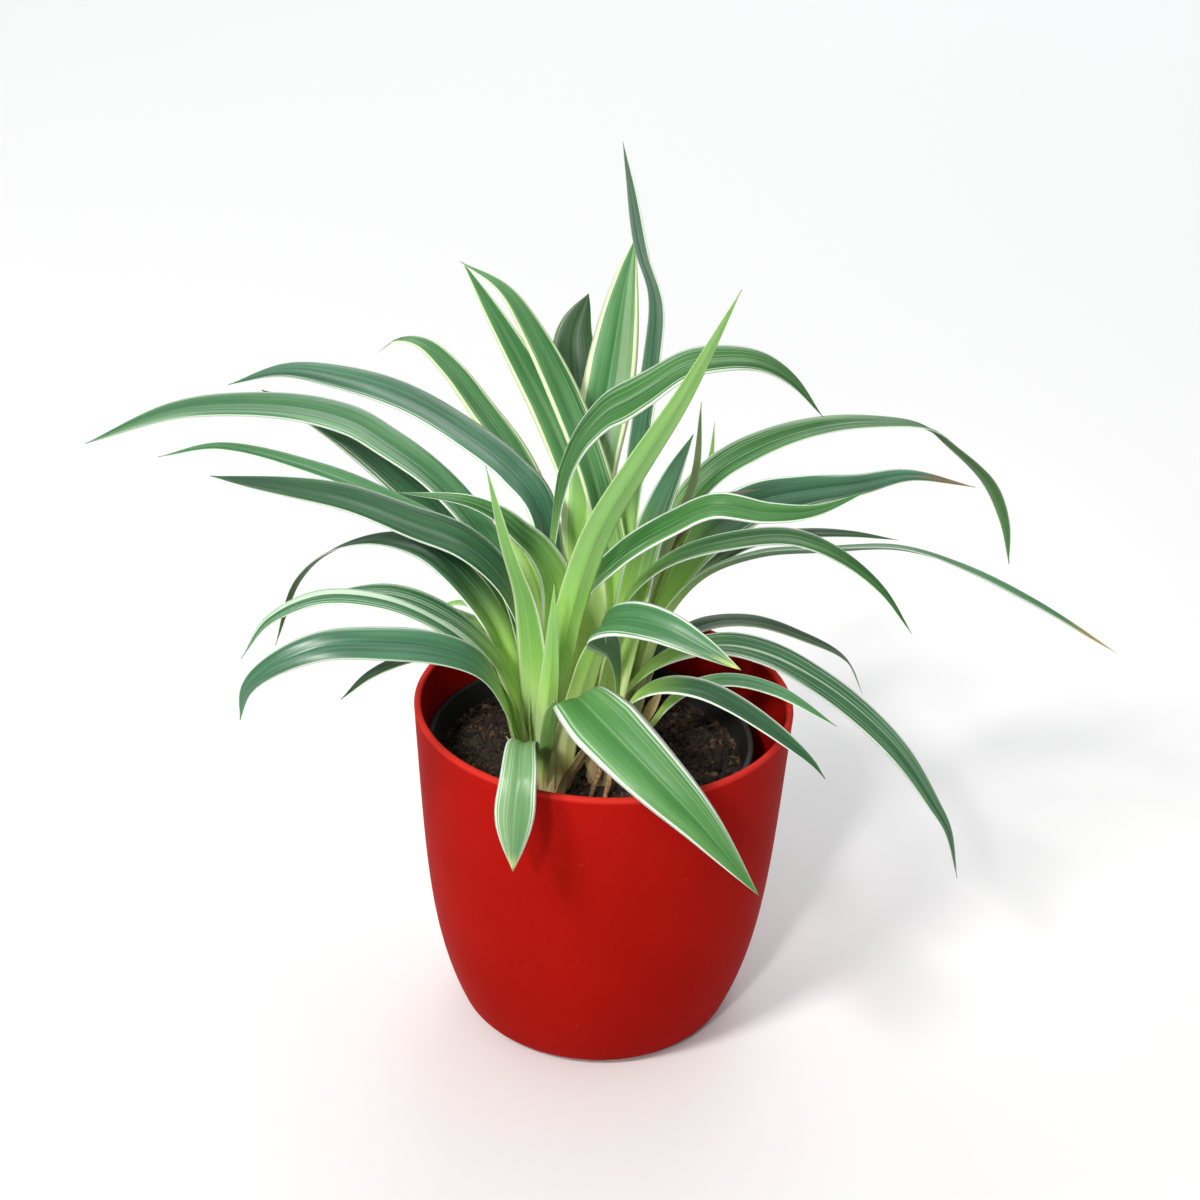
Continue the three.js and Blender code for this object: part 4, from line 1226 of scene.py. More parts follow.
@dataclass(frozen=True)
class PlasticFinish:
    """Moulded plastic: an uneven tone, fine grain, faint turning lines, dust, and a painted highlight that
    lightens it above a given height.
    """

    title: str
    base: Colour
    shade: Colour
    dust: Colour
    roughness: float
    uneven: float = 0.5
    dusty: float = 0.0
    cloud_scale: float = 22.0
    grain_scale: float = 2600.0
    specular: float = 0.5
    # Painted highlight: a lighter colour laid on above a given height, standing in for the light that the top
    # of the lip catches.
    painted_rim_highlight: Colour = srgb(60, 60, 60)
    painted_highlight_above: float = 1.0
    painted_highlight_fade: float = 1.6 * MM
    painted_highlight_share: float = 0.6
    turning_scale: float = 900.0
    speck_scale: float = 420.0
    speck_step: Step = (0.63, 0.74)
    cloud_rough: float = 0.14
    dust_rough: float = 0.3
    turning_share: float = 0.5
    relief: float = 0.06 * MM

    def make(self) -> bpy.types.Material:
        """Makes the material.

        Returns:
            A material on Object coordinates.
        """
        made, graph = material(self.title)
        mottle = graph.add("ShaderNodeGroup", {
            "Base": self.base, "Shade": self.shade, "Cloud scale": self.cloud_scale,
            "Grain scale": self.grain_scale, "Amount": self.uneven,
        }, node_tree=group("mottle", mottle_nodes))
        spot = graph.here()
        height = graph.height(spot)
        turning = graph.noise(graph.xyz(z=graph.times(height, self.turning_scale)), detail=3.0)
        specks = graph.noise(spot, self.speck_scale, 5.0, 0.62)
        dusty = graph.times(graph.smooth(specks, *self.speck_step), self.dusty)
        colour = graph.mix(dusty, mottle.outputs["Colour"], self.dust)
        # Painted highlight: above that height the colour turns lighter, as where light catches the top of the
        # lip.
        painted_rim_highlight = graph.smooth(height, self.painted_highlight_above, self.painted_highlight_above + self.painted_highlight_fade)
        colour = graph.mix(graph.times(painted_rim_highlight, self.painted_highlight_share), colour, self.painted_rim_highlight)
        smoothest = self.roughness - self.cloud_rough / 2
        roughness = graph.times_plus(mottle.outputs["Cloud"], self.cloud_rough, smoothest)
        roughness = graph.times_plus(dusty, self.dust_rough, roughness)
        relief = graph.times_plus(turning, self.turning_share, mottle.outputs["Grain"])
        shader = {"Base Color": colour, "Roughness": roughness, "Specular IOR Level": self.specular}
        finish_surface(graph, shader, relief, strength=0.25, depth=self.relief)
        return made


# The red pot is painted lighter above 127.6 mm: a painted highlight along its lip.
RED_PLASTIC = PlasticFinish("red_plastic", srgb(160, 19, 12), srgb(144, 14, 9), srgb(206, 96, 78),
                            roughness=0.5, dusty=0.12, specular=0.01, painted_rim_highlight=srgb(210, 56, 46),
                            painted_highlight_above=127.6 * MM)
BLACK_PLASTIC = PlasticFinish("black_plastic", srgb(30, 30, 31), srgb(40, 38, 38), srgb(78, 64, 52),
                              roughness=0.62, dusty=0.5, specular=0.3)


@dataclass
class CoverPot:
    """The red outer pot: a tapered wall, rounded in at its foot, with a rounded lip."""

    rim_radius: float = 70 * MM
    height: float = 130 * MM
    taper: float = 7.6 * MM
    curl: float = 12 * MM
    curl_power: float = 4.6
    wall: float = 2.6 * MM
    floor: float = 3 * MM
    foot_fillet: float = 8 * MM
    foot_angle: float = 23.0
    outer_arc_steps: int = 10
    inner_arc_steps: int = 8
    wall_steps: int = 64
    sides: int = 192

    def radius(self, z: float) -> float:
        """The pot's outside radius at a height."""
        down = 1 - z / self.height
        return self.rim_radius - self.taper * down - self.curl * down ** self.curl_power

    def climb(self, start: float, inset: float) -> list[tuple[float, float]]:
        """Points up the wall, from a height to the lip.

        Args:
            start: The height that they start from.
            inset: How far they are set in.

        Returns:
            Radius and height of each point.
        """
        top = self.height - self.wall / 2
        heights = (start + (top - start) * step / self.wall_steps for step in range(1, self.wall_steps))
        return [(self.radius(z) - inset, z) for z in heights]

    def build(self) -> None:
        """Builds the pot in place of its plain solid."""
        lean = math.radians(self.foot_angle)
        join = self.foot_fillet * (1 - math.sin(lean))
        foot = self.radius(join) - self.foot_fillet * math.cos(lean)
        inner_fillet = self.foot_fillet - self.wall
        inner_join = self.floor + inner_fillet * (1 - math.sin(lean))
        inner_foot = self.radius(inner_join) - self.wall - inner_fillet * math.cos(lean)
        lip = self.wall / 2
        lip_centre = (self.radius(self.height - lip) - lip, self.height - lip)
        profile = [
            (0.0, 0.0),
            *arc((foot, self.foot_fillet), self.foot_fillet, -90, -self.foot_angle, self.outer_arc_steps),
            *self.climb(join, 0.0),
            *arc(lip_centre, lip, 0, 180, self.outer_arc_steps),
            *reversed(self.climb(inner_join, self.wall)),
            *arc((inner_foot, self.floor + inner_fillet), inner_fillet, -self.foot_angle, -90,
                 self.inner_arc_steps),
            (0.0, self.floor),
        ]
        mesh = turned("cover_pot_red", profile, self.sides)
        mesh.materials.append(RED_PLASTIC.make())
        place(linked("cover_pot_red", mesh), "cover_pot", "cover_pot")


@dataclass
class NurseryPot:
    """The thin black pot that holds the soil, with a stiff lip and drain holes."""

    centre: tuple[float, float] = (-4.5 * MM, 1.5 * MM)
    rim_radius: float = 61 * MM
    rim_height: float = 112 * MM
    lip_depth: float = 5 * MM
    lip_overhang: float = 1.2 * MM
    lip_edge: float = 0.8 * MM
    bottom_radius: float = 40 * MM
    bottom: float = 3.3 * MM
    wall: float = 1.1 * MM
    drain_holes: int = 6
    drain_radius: float = 4 * MM
    drain_circle: float = 26 * MM
    drain_depth: float = 6 * MM
    drain_sides: int = 32
    outer_arc_steps: int = 4
    inner_arc_steps: int = 3
    sides: int = 160

    def radius(self, z: float) -> float:
        """The wall's outside radius at a height.

        Args:
            z: The height.

        Returns:
            The radius there.
        """
        top = self.rim_radius - self.lip_overhang
        up = (z - self.bottom) / (self.rim_height - self.bottom)
        return self.bottom_radius + (top - self.bottom_radius) * up

    def drains(self) -> bpy.types.Object:
        """Makes short posts that cut the drain holes.

        Returns:
            The posts as one object.
        """
        shape = bmesh.new()
        for hole in range(self.drain_holes):
            angle = math.tau * hole / self.drain_holes
            spot = (self.drain_circle * math.cos(angle), self.drain_circle * math.sin(angle), self.bottom)
            bmesh.ops.create_cone(
                shape, cap_ends=True, segments=self.drain_sides, radius1=self.drain_radius,
                radius2=self.drain_radius, depth=self.drain_depth, matrix=Matrix.Translation(spot))
        return linked("drains", as_mesh("drains", shape))

    def build(self) -> None:
        """Builds the pot in place of its plain solid."""
        lip_bottom = self.rim_height - self.lip_depth
        edge, steps = self.lip_edge, self.outer_arc_steps
        inside = self.radius(self.rim_height) - self.wall
        floor_top = self.bottom + self.wall
        profile = [
            (0.0, self.bottom),
            (self.radius(self.bottom), self.bottom),
            (self.radius(lip_bottom), lip_bottom),
            *arc((self.rim_radius - edge, lip_bottom + edge), edge, -90, 0, steps),
            *arc((self.rim_radius - edge, self.rim_height - edge), edge, 0, 90, steps),
            *arc((inside + edge / 2, self.rim_height - edge / 2), edge / 2, 90, 180, self.inner_arc_steps),
            (self.radius(floor_top) - self.wall, floor_top),
            (0.0, floor_top),
        ]
        pot = linked("nursery_pot_black", turned("nursery_pot_black", profile, self.sides))
        cutter = self.drains()
        cut = pot.modifiers.new("drains", "BOOLEAN")
        cut.object = cutter
        cut.solver = "EXACT"
        settle(pot)
        bpy.data.objects.remove(cutter)
        pot.data.transform(Matrix.Translation((*self.centre, 0.0)))
        pot.data.materials.append(BLACK_PLASTIC.make())
        place(pot, "nursery_pot", "nursery_pot")


# ---------------------------------------------------------------- soil


@dataclass(frozen=True)
class PeatFinish:
    """Damp peat: near black with brown clods, or for crumbs and fibres a tint of their own."""

    title: str
    dark: Colour = srgb(32, 27, 24)
    mid: Colour = srgb(58, 47, 38)
    light: Colour = srgb(102, 80, 58)
    tinted: bool = False
    roughness: float = 0.9
    clod_scale: float = 240.0
    grain_scale: float = 1500.0
    grain_share: float = 0.35
    tint_share: float = 0.62
    mid_step: Step = (0.3, 0.62)
    light_step: Step = (0.62, 0.86)
    relief: float = 0.8 * MM

    def make(self) -> bpy.types.Material:
        """Makes the material.

        Returns:
            A material on Object coordinates, and on the tint attribute where it is tinted.
        """
        made, graph = material(self.title)
        spot = graph.here()
        clods = graph.noise(spot, self.clod_scale, 5.0, 0.6)
        grains = graph.noise(spot, self.grain_scale, 3.0)
        tone = graph.times_plus(grains, self.grain_share, graph.times(clods, 1 - self.grain_share))
        if self.tinted:
            tone = graph.times(tone, 1 - self.tint_share)
            tone = graph.times_plus(graph.attribute("tint"), self.tint_share, tone)
        colour = graph.mix(graph.smooth(tone, *self.mid_step), self.dark, self.mid)
        colour = graph.mix(graph.smooth(tone, *self.light_step), colour, self.light)
        shader = {"Base Color": colour, "Roughness": self.roughness, "Specular IOR Level": 0.2}
        finish_surface(graph, shader, tone, strength=0.7, depth=self.relief)
        return made


def strewn(graph: Graph, points: bpy.types.Node, piece: Any, turn: Any, size: Any,
           seed: Any) -> bpy.types.NodeSocket:
    """Puts a piece on every point, each with a tint of its own, and makes them real.

    Args:
        graph: The tree's graph.
        points: The node that distributes the points.
        piece: What is put there.
        turn: How each one is turned.
        size: How each one is scaled.
        seed: The seed of the tints.

    Returns:
        The pieces as one geometry.
    """
    pieces = graph.add("GeometryNodeInstanceOnPoints", {
        "Points": points.outputs["Points"], "Instance": piece, "Rotation": turn, "Scale": size})
    tinted = graph.keep(pieces.outputs[0], "tint", graph.drawn(0.0, 1.0, seed), domain="INSTANCE")
    return graph.add("GeometryNodeRealizeInstances", {"Geometry": tinted}).outputs[0]


def jolted(graph: Graph, geometry: Any, scale: float, amount: Any) -> bpy.types.NodeSocket:
    """Moves a geometry's points about by noise.

    Args:
        graph: The tree's graph.
        geometry: What is moved.
        scale: Bumps per metre.
        amount: How far the noise moves a point.

    Returns:
        The moved geometry.
    """
    position = graph.add("GeometryNodeInputPosition").outputs[0]
    rough = graph.add("ShaderNodeTexNoise", {"Vector": position, "Scale": scale, "Detail": 1.0})
    shift = graph.vector("SUBTRACT", rough.outputs["Color"], (0.5, 0.5, 0.5))
    moved = {"Geometry": geometry, "Offset": graph.scaled(shift, amount)}
    return graph.add("GeometryNodeSetPosition", moved).outputs[0]


FEW_LARGE = 2.2  # the higher, the fewer crumbs come near the largest size
ROUGHING_SCALE = 900.0  # bumps per metre on a crumb
SWAY_SCALE = 160.0  # bends per metre in a fibre


def crumb_nodes(graph: Graph) -> None:
    """Crumbs of peat scattered over a surface, each with a tint.

    Args:
        graph: The tree's graph.
    """
    sockets = graph.takes({"Ground": "Geometry", "Density": "Float", "Smallest": "Float", "Largest": "Float",
                           "Rounding": "Int", "Roughing": "Float", "Seed": "Int", "Finish": "Material"})
    points = graph.add("GeometryNodeDistributePointsOnFaces",
                       {"Mesh": sockets["Ground"], "Density": sockets["Density"], "Seed": sockets["Seed"]})
    crumb = graph.add("GeometryNodeMeshIcoSphere", {"Radius": 1.0, "Subdivisions": sockets["Rounding"]})
    turn = graph.drawn_vector((0.0, 0.0, 0.0), (math.tau,) * 3, sockets["Seed"])
    draw = graph.drawn(0.0, 1.0, graph.plus(sockets["Seed"], 1.0))
    spread = graph.minus(sockets["Largest"], sockets["Smallest"])
    size = graph.times_plus(graph.math("POWER", draw, FEW_LARGE), spread, sockets["Smallest"])
    squash = graph.drawn_vector((0.6, 0.6, 0.45), (1.15, 1.0, 0.9), graph.plus(sockets["Seed"], 2.0))
    crumbs = strewn(graph, points, crumb.outputs["Mesh"], turn, graph.scaled(squash, size),
                    seed=graph.plus(sockets["Seed"], 3.0))
    graph.ends("Crumbs", jolted(graph, crumbs, ROUGHING_SCALE, sockets["Roughing"]), sockets["Finish"])


def fibre_nodes(graph: Graph) -> None:
    """Thin bent fibres strewn over a surface, each with a tint.

    Args:
        graph: The tree's graph.
    """
    sockets = graph.takes({"Ground": "Geometry", "Density": "Float", "Length": "Float", "Radius": "Float",
                           "Bend": "Float", "Tilt": "Float", "Seed": "Int", "Finish": "Material"})
    points = graph.add("GeometryNodeDistributePointsOnFaces",
                       {"Mesh": sockets["Ground"], "Density": sockets["Density"], "Seed": sockets["Seed"]})
    half = graph.times(sockets["Length"], 0.5)
    lean = graph.times(sockets["Length"], 0.15)
    line = graph.add("GeometryNodeCurvePrimitiveBezierSegment", {
        "Resolution": 9, "Start": graph.xyz(graph.times(half, -1.0)),
        "Start Handle": graph.xyz(graph.times(half, -0.4), lean, lean),
        "End Handle": graph.xyz(graph.times(half, 0.4), lean, 0.0), "End": graph.xyz(half)})
    ring = graph.add("GeometryNodeCurvePrimitiveCircle", {"Resolution": 5, "Radius": sockets["Radius"]})
    fibre = graph.add("GeometryNodeCurveToMesh", {
        "Curve": line.outputs[0], "Profile Curve": ring.outputs["Curve"], "Fill Caps": True})
    tilt = sockets["Tilt"]
    back = graph.times(tilt, -1.0)
    turn = graph.drawn_vector(graph.xyz(back, back), graph.xyz(tilt, tilt, math.tau), sockets["Seed"])
    size = graph.drawn(0.45, 1.5, graph.plus(sockets["Seed"], 1.0))
    fibres = strewn(graph, points, fibre.outputs[0], turn, graph.xyz(size, size, size),
                    seed=graph.plus(sockets["Seed"], 2.0))
    bent = jolted(graph, fibres, SWAY_SCALE, sockets["Bend"])
    smooth = graph.add("GeometryNodeSetShadeSmooth", {"Geometry": bent})
    graph.ends("Fibres", smooth.outputs[0], sockets["Finish"])


@dataclass
class Soil:
    """The peat in the nursery pot, crumbly on top, with crumbs and fibres strewn over it."""

    pot: NurseryPot
    gap: float = 0.3 * MM
    surface: float = 103.5 * MM
    clod: float = 1.6 * MM
    heave: float = 1.2 * MM
    dip: float = 4.5 * MM
    dip_width: float = 11 * MM
    clod_scale: float = 210.0
    heave_scale: float = 34.0
    heave_slice: float = 4 * MM
    level_within: float = 3 * MM
    strewn_depth: float = 6 * MM
    ring_step: float = 1.1 * MM
    sides: int = 220

    def top_height(self, x: float, y: float, edge: float) -> float:
        """The height of the uneven surface.

        Args:
            x: Place from the pot's axis.
            y: Place from the pot's axis.
            edge: How far the place is from the pot's wall.

        Returns:
            The height there.
        """
        clods = noise.fractal(Vector((x, y, 0)) * self.clod_scale, 1.0, 2.0, 4)
        heave = noise.noise(Vector((x, y, self.heave_slice)) * self.heave_scale)
        sunk = self.dip * max(0.0, 1 - edge / self.dip_width) ** 2
        uneven = self.clod * clods + self.heave * heave
        return self.surface - sunk + uneven * min(edge / self.level_within, 1.0)

    def build(self) -> None:
        """Builds the soil in place of its plain solid."""
        bottom = self.pot.bottom + self.pot.wall + self.gap
        outside = self.pot.radius(self.surface) - self.pot.wall - self.gap
        steps = round(outside / self.ring_step)
        rings = [(outside * (1 - step / steps), self.surface) for step in range(steps)]
        profile = [(0.0, bottom), (self.pot.radius(bottom) - self.pot.wall - self.gap, bottom), *rings,
                   (0.0, self.surface)]
        mesh = turned("soil_peat", profile, self.sides)
        for vertex in mesh.vertices:
            x, y, z = vertex.co
            if z > self.surface - self.gap and math.hypot(x, y) < outside - self.gap:
                vertex.co.z = self.top_height(x, y, outside - math.hypot(x, y))
        mesh.transform(Matrix.Translation((*self.pot.centre, 0.0)))
        mesh.materials.append(PeatFinish("peat").make())
        place(linked("soil_peat", mesh), "soil", "soil")
        self.strew(mesh)

    def strew(self, mesh: bpy.types.Mesh) -> None:
        """Strews crumbs and fibres over the top.

        Args:
            mesh: The soil.
        """
        shape = bmesh.new()
        shape.from_mesh(mesh)
        lowest = self.surface - self.strewn_depth
        low = [face for face in shape.faces if min(v.co.z for v in face.verts) < lowest]
        bmesh.ops.delete(shape, geom=low, context="FACES")
        ground = as_mesh("ground", shape)
        crumbs = group("crumbs", crumb_nodes, "GeometryNodeTree")
        fibres = group("fibres", fibre_nodes, "GeometryNodeTree")
        loose = PeatFinish("peat_crumbs", tinted=True).make()
        straw = PeatFinish("peat_fibres", dark=srgb(64, 45, 30), mid=srgb(112, 82, 50),
                           light=srgb(168, 134, 84), tinted=True, roughness=0.7).make()
        grain = {"Density": 420_000.0, "Smallest": 0.35 * MM, "Largest": 1.5 * MM, "Rounding": 1,
                 "Roughing": 0.5 * MM, "Seed": 3, "Finish": loose}
        clods = {"Density": 26_000.0, "Smallest": 1.0 * MM, "Largest": 3.0 * MM, "Rounding": 2,
                 "Roughing": 1.6 * MM, "Seed": 8, "Finish": loose}
        threads = {"Density": 5_000.0, "Length": 9 * MM, "Radius": 0.11 * MM, "Bend": 2.4 * MM, "Tilt": 0.35,
                   "Seed": 5, "Finish": straw}
        for title, tree, inputs in (("soil_grains", crumbs, grain), ("soil_clods", crumbs, clods),
                                    ("soil_fibres", fibres, threads)):
            place(grown(title, ground.copy(), tree, inputs), "soil", "soil")


# ---------------------------------------------------------------- shoots


def strand_nodes(graph: Graph) -> None:
    """A closed tube along a line, thinner towards its far end.

    Args:
        graph: The tree's graph.
    """
    sockets = graph.takes({"Line": "Geometry", "Radius": "Float", "Sides": "Int", "Taper": "Float",
                           "Finish": "Material"})
    curve = graph.add("GeometryNodeMeshToCurve", {"Mesh": sockets["Line"]}).outputs["Curve"]
    ring = graph.add("GeometryNodeCurvePrimitiveCircle",
                     {"Resolution": sockets["Sides"], "Radius": sockets["Radius"]})
    along = graph.add("GeometryNodeSplineParameter").outputs["Factor"]
    slim = graph.minus(1.0, graph.times(along, sockets["Taper"]))
    tube = graph.add("GeometryNodeCurveToMesh", {"Curve": curve, "Profile Curve": ring.outputs["Curve"],
                                                 "Scale": slim, "Fill Caps": True})
    smooth = graph.add("GeometryNodeSetShadeSmooth", {"Geometry": tube.outputs[0]})
    graph.ends("Strand", smooth.outputs[0], sockets["Finish"])


@dataclass(frozen=True)
class StemFinish:
    """The fleshy stem at a shoot's foot: pale above, brown and papery at the soil."""

    pale: Colour = srgb(238, 246, 196)
    green: Colour = srgb(202, 226, 136)
    brown: Colour = srgb(182, 148, 104)
    soil_line: float = 103.5 * MM
    brown_height: float = 9 * MM
    ragged: float = 14 * MM
    fibre_scale: Point = (900.0, 900.0, 60.0)
    patch_scale: float = 160.0
    relief: float = 0.4 * MM

    def make(self) -> bpy.types.Material:
        """Makes the material, or finds the one made before.

        Returns:
            A material on Object coordinates.
        """
        if "stem" in bpy.data.materials:
            return bpy.data.materials["stem"]
        made, graph = material("stem")
        spot = graph.here()
        height = graph.height(spot)
        fibres = graph.noise(graph.vector("MULTIPLY", spot, self.fibre_scale), detail=3.0)
        patches = graph.noise(spot, self.patch_scale, 3.0)
        colour = graph.mix(graph.smooth(fibres, 0.35, 0.65), self.green, self.pale)
        low = graph.times_plus(graph.minus(patches, 0.5), self.ragged, height)
        browned = graph.smooth(low, self.soil_line + self.brown_height, self.soil_line)
        colour = graph.mix(browned, colour, self.brown)
        shader = {"Base Color": colour, "Roughness": 0.5}
        finish_surface(graph, shader, fibres, strength=0.4, depth=self.relief)
        return made


@dataclass(frozen=True)
class RootFinish:
    """Tan, fibrous roots that show at the soil."""

    light: Colour = srgb(156, 122, 78)
    dark: Colour = srgb(96, 70, 44)
    grain_scale: float = 700.0
    relief: float = 0.3 * MM

    def make(self) -> bpy.types.Material:
        """Makes the material, or finds the one made before.

        Returns:
            A material on Object coordinates.
        """
        if "root" in bpy.data.materials:
            return bpy.data.materials["root"]
        made, graph = material("root")
        spot = graph.here()
        grain = graph.noise(spot, self.grain_scale, 4.0)
        colour = graph.mix(graph.smooth(grain, 0.35, 0.65), self.dark, self.light)
        shader = {"Base Color": colour, "Roughness": 0.8}
        finish_surface(graph, shader, grain, strength=0.6, depth=self.relief)
        return made


@dataclass
class Shoot:
    """A shoot: a short stem, the leaves that grow from it, dry husks round its foot, and roots.

    Centre, radii, top and the lists of points are in millimetres.
    """

    name: str
    centre: tuple[float, float]
    radii: tuple[float, float]
    top: float
    leaves: tuple[Leaf, ...]
    husks: tuple[Leaf, ...]
    roots: tuple[tuple[Point, ...], ...] = ()
    foot: float = 94.0
    leaf_start: float = 101.0
    leaf_pull: float = 0.8
    most_pull: float = 0.9
    first_seed: float = 0.37
    seed_step: float = 1.618
    root_radius: float = 1.5 * MM
    root_taper: float = 0.5
    root_sides: int = 12
    root_steps: int = 8
    stem_sides: int = 48
    ridges: int = 7
    ridge_depth: float = 0.05
    ridge_twist: float = 0.3

    def start_of(self, leaf: Leaf) -> Point:
        """The point in the crown, just under the soil's surface, that a leaf grows from.

        Args:
            leaf: The leaf.

        Returns:
            The point, in millimetres.
        """
        across, deep = leaf.midrib[0][0] - self.centre[0], leaf.midrib[0][1] - self.centre[1]
        share = math.hypot(across / self.radii[0], deep / self.radii[1])
        pull = min(self.most_pull, self.leaf_pull / max(share, 1e-6))
        return (self.centre[0] + pull * across, self.centre[1] + pull * deep, self.leaf_start)

    def stem(self) -> bpy.types.Object:
        """Makes the stem: an oval post, ribbed by the leaf bases, drawn in at its top.

        Its profile has shares of the radii, and heights in millimetres.

        Returns:
            The finished stem.
        """
        profile = ((0.0, self.foot), (0.6, self.foot), (0.8, 98.0), (0.84, 103.0), (0.76, 108.0),
                   (0.62, 112.0), (0.45, self.top - 3), (0.24, self.top), (0.0, self.top + 1))
        mesh = turned(f"stem_{self.name}", profile, self.stem_sides)
        for vertex in mesh.vertices:
            angle = math.atan2(vertex.co.y, vertex.co.x)
            rib = 1 + self.ridge_depth * math.sin(self.ridges * angle + self.ridge_twist * vertex.co.z)
            x = self.centre[0] + vertex.co.x * self.radii[0] * rib
            y = self.centre[1] + vertex.co.y * self.radii[1] * rib
            vertex.co = Vector((x, y, vertex.co.z)) * MM
        mesh.materials.append(StemFinish().make())
        return linked(f"stem_{self.name}", mesh)

    def build(self, shape: BladeShape) -> None:
        """Builds the whole shoot in place of its plain solid.

        Args:
            shape: What all leaves share.
        """
        node = f"shoot_{self.name}"
        place(self.stem(), "leaf", node)
        for kind, leaves in (("leaf", self.leaves), ("husk", self.husks)):
            for number, leaf in enumerate(leaves):
                title = f"{kind}_{self.name}_{leaf.name}"
                seed = self.first_seed + self.seed_step * number
                place(shape.grow(leaf, self.start_of(leaf), title, seed), "leaf", node)
        tree = group("strand", strand_nodes, "GeometryNodeTree")
        for number, route in enumerate(self.roots):
            line = line_mesh("route", (point * MM for point in smooth_path(route, self.root_steps)))
            inputs = {"Radius": self.root_radius, "Sides": self.root_sides, "Taper": self.root_taper,
                      "Finish": RootFinish().make()}
            place(grown(f"root_{self.name}_{number + 1}", line, tree, inputs), "leaf", node)


# ---------------------------------------------------------------- stage


@dataclass(frozen=True)
class Lamp:
    """A square soft light: where it hangs, its side, its power in watts and its colour."""

    name: str
    spot: Point
    size: float
    power: float
    colour: Point


LAMPS = (
    Lamp("key", (-1.35, -1.5, 2.25), 0.5, 56.0, (1.0, 0.99, 0.97)),
    Lamp("fill", (-0.1, -1.8, 1.1), 1.2, 4.0, (1.0, 1.0, 1.0)),
    Lamp("top", (0.0, 1.2, 3.2), 6.0, 98.0, (0.96, 0.98, 1.0)),
    Lamp("back", (0.4, 3.2, 2.4), 2.2, 34.0, (0.97, 0.98, 1.0)),
)


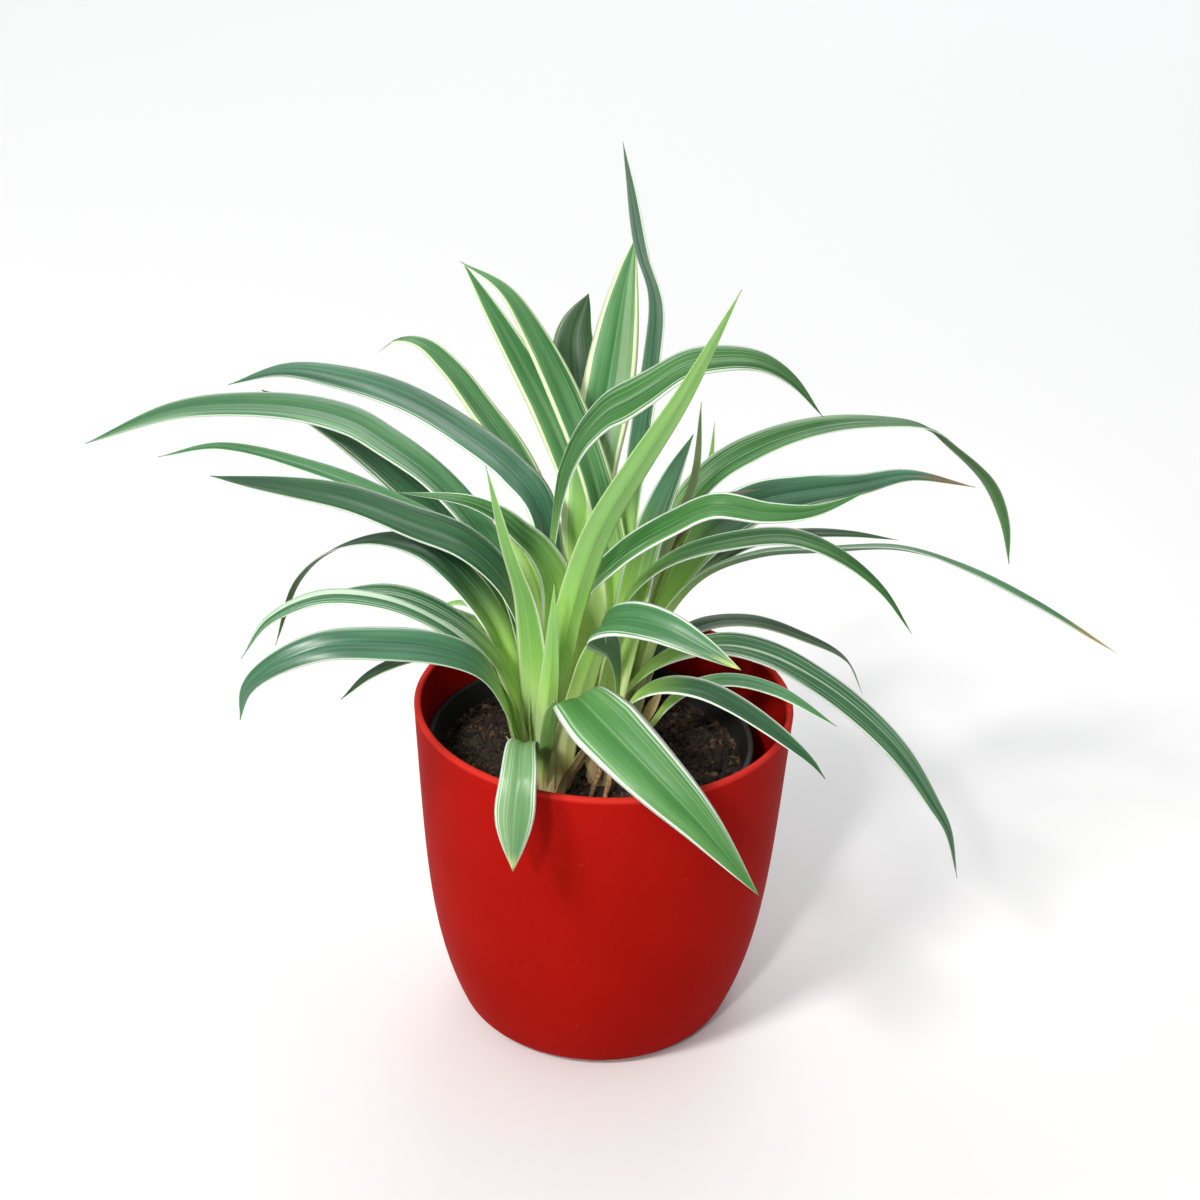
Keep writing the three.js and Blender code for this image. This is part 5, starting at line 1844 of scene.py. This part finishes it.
@dataclass
class Stage:
    """The floor, the lights and the camera: none of it belongs to the plant."""

    floor_size: float = 14.0
    floor_colour: Colour = srgb(238, 236, 234)
    sky: Colour = (0.88, 0.94, 1.0, 1.0)
    sky_strength: float = 0.28
    pitch: float = 27.5
    roll: float = 1.9
    lens: float = 66.0
    sensor: float = 36.0
    camera_spot: Point = (-2.67 * MM, -703.70 * MM, 536.73 * MM)
    aim: Point = (0.0, 0.0, 0.15)
    pool_spot: Point = (-0.5, -1.5, 1.3)
    pool_power: float = 140.0
    pool_angle: float = 9.0
    pool_softness: float = 0.12

    def floor(self) -> None:
        """Lays the plain pale floor."""
        shape = bmesh.new()
        bmesh.ops.create_grid(shape, x_segments=1, y_segments=1, size=self.floor_size / 2)
        mesh = as_mesh("floor", shape)
        made, graph = material("floor")
        surface = graph.add("ShaderNodeBsdfPrincipled", {"Base Color": self.floor_colour, "Roughness": 0.9,
                                                         "Specular IOR Level": 0.1})
        graph.add("ShaderNodeOutputMaterial", {"Surface": surface.outputs[0]})
        mesh.materials.append(made)
        linked("floor", mesh)

    def light(self, lamp: Lamp) -> None:
        """Hangs a square soft light that looks at the plant.

        Args:
            lamp: The lamp.
        """
        area = bpy.data.lights.new(lamp.name, "AREA")
        area.size = lamp.size
        area.energy = lamp.power
        area.color = lamp.colour
        self.hang(area, lamp.spot)

    def pool(self) -> None:
        """Lights the crown and the pot's lip with a spotlight that fades out towards its edge."""
        lamp = bpy.data.lights.new("pool", "SPOT")
        lamp.energy = self.pool_power
        lamp.spot_size = math.radians(self.pool_angle)
        lamp.spot_blend = 1.0
        lamp.shadow_soft_size = self.pool_softness
        self.hang(lamp, self.pool_spot)

    def hang(self, lamp: bpy.types.Light, spot: Point) -> None:
        """Hangs a light at a spot so that it looks at the plant.

        Args:
            lamp: The light.
            spot: Where it hangs.
        """
        holder = bpy.data.objects.new(lamp.name, lamp)
        holder.location = spot
        aim = Vector(self.aim) - holder.location
        holder.rotation_euler = aim.to_track_quat("-Z", "Y").to_euler()
        bpy.context.scene.collection.objects.link(holder)

    def camera(self) -> None:
        """Sets up the camera at the photograph's angle, turned a little about its own axis."""
        pitch, roll = math.radians(self.pitch), math.radians(self.roll)
        ahead = Vector((0, math.cos(pitch), -math.sin(pitch)))
        level, upright = Vector((1, 0, 0)), Vector((0, math.sin(pitch), math.cos(pitch)))
        right = math.cos(roll) * level + math.sin(roll) * upright
        up = math.cos(roll) * upright - math.sin(roll) * level
        lens = bpy.data.cameras.new("camera")
        lens.lens = self.lens
        lens.sensor_width = self.sensor
        holder = bpy.data.objects.new("camera", lens)
        turn = Matrix((right, up, -ahead)).transposed()
        holder.matrix_world = Matrix.Translation(self.camera_spot) @ turn.to_4x4()
        bpy.context.scene.collection.objects.link(holder)
        bpy.context.scene.camera = holder

    def build(self) -> None:
        """Builds the stage."""
        self.floor()
        world = bpy.data.worlds.new("studio")
        world.use_nodes = True
        sky = world.node_tree.nodes["Background"]
        sky.inputs["Color"].default_value = self.sky
        sky.inputs["Strength"].default_value = self.sky_strength
        bpy.context.scene.world = world
        for lamp in LAMPS:
            self.light(lamp)
        self.pool()
        self.camera()
        bpy.context.scene.view_settings.view_transform = "Standard"


# ---------------------------------------------------------------- the whole plant


def shoots() -> list[Shoot]:
    """The three shoots with their leaves.

    Returns:
        The left, the right and the back shoot.
    """
    front_roots = (
        ((1, -19, 118), (-0.5, -23, 113), (-2.5, -26, 108), (-4, -27, 102)),
        ((3, -19, 112), (3, -24, 110), (2, -28, 107), (1, -31, 102)),
    )
    return [
        Shoot("left", (-19, -21), (8.5, 6.5), 121, LEFT_LEAVES, LEFT_HUSKS),
        Shoot("right", (1, -14), (8, 7), 118, RIGHT_LEAVES, RIGHT_HUSKS, front_roots),
        Shoot("back", (9, 11), (7.5, 7), 118, BACK_LEAVES, BACK_HUSKS),
    ]


def main() -> None:
    """Builds the stage and the plant."""
    logging.basicConfig(level=logging.INFO, format="%(message)s")
    Stage().build()
    CoverPot().build()
    nursery = NurseryPot()
    nursery.build()
    Soil(nursery).build()
    shape = BladeShape()
    for shoot in shoots():
        shoot.build(shape)


if __name__ == "__main__":
    main()
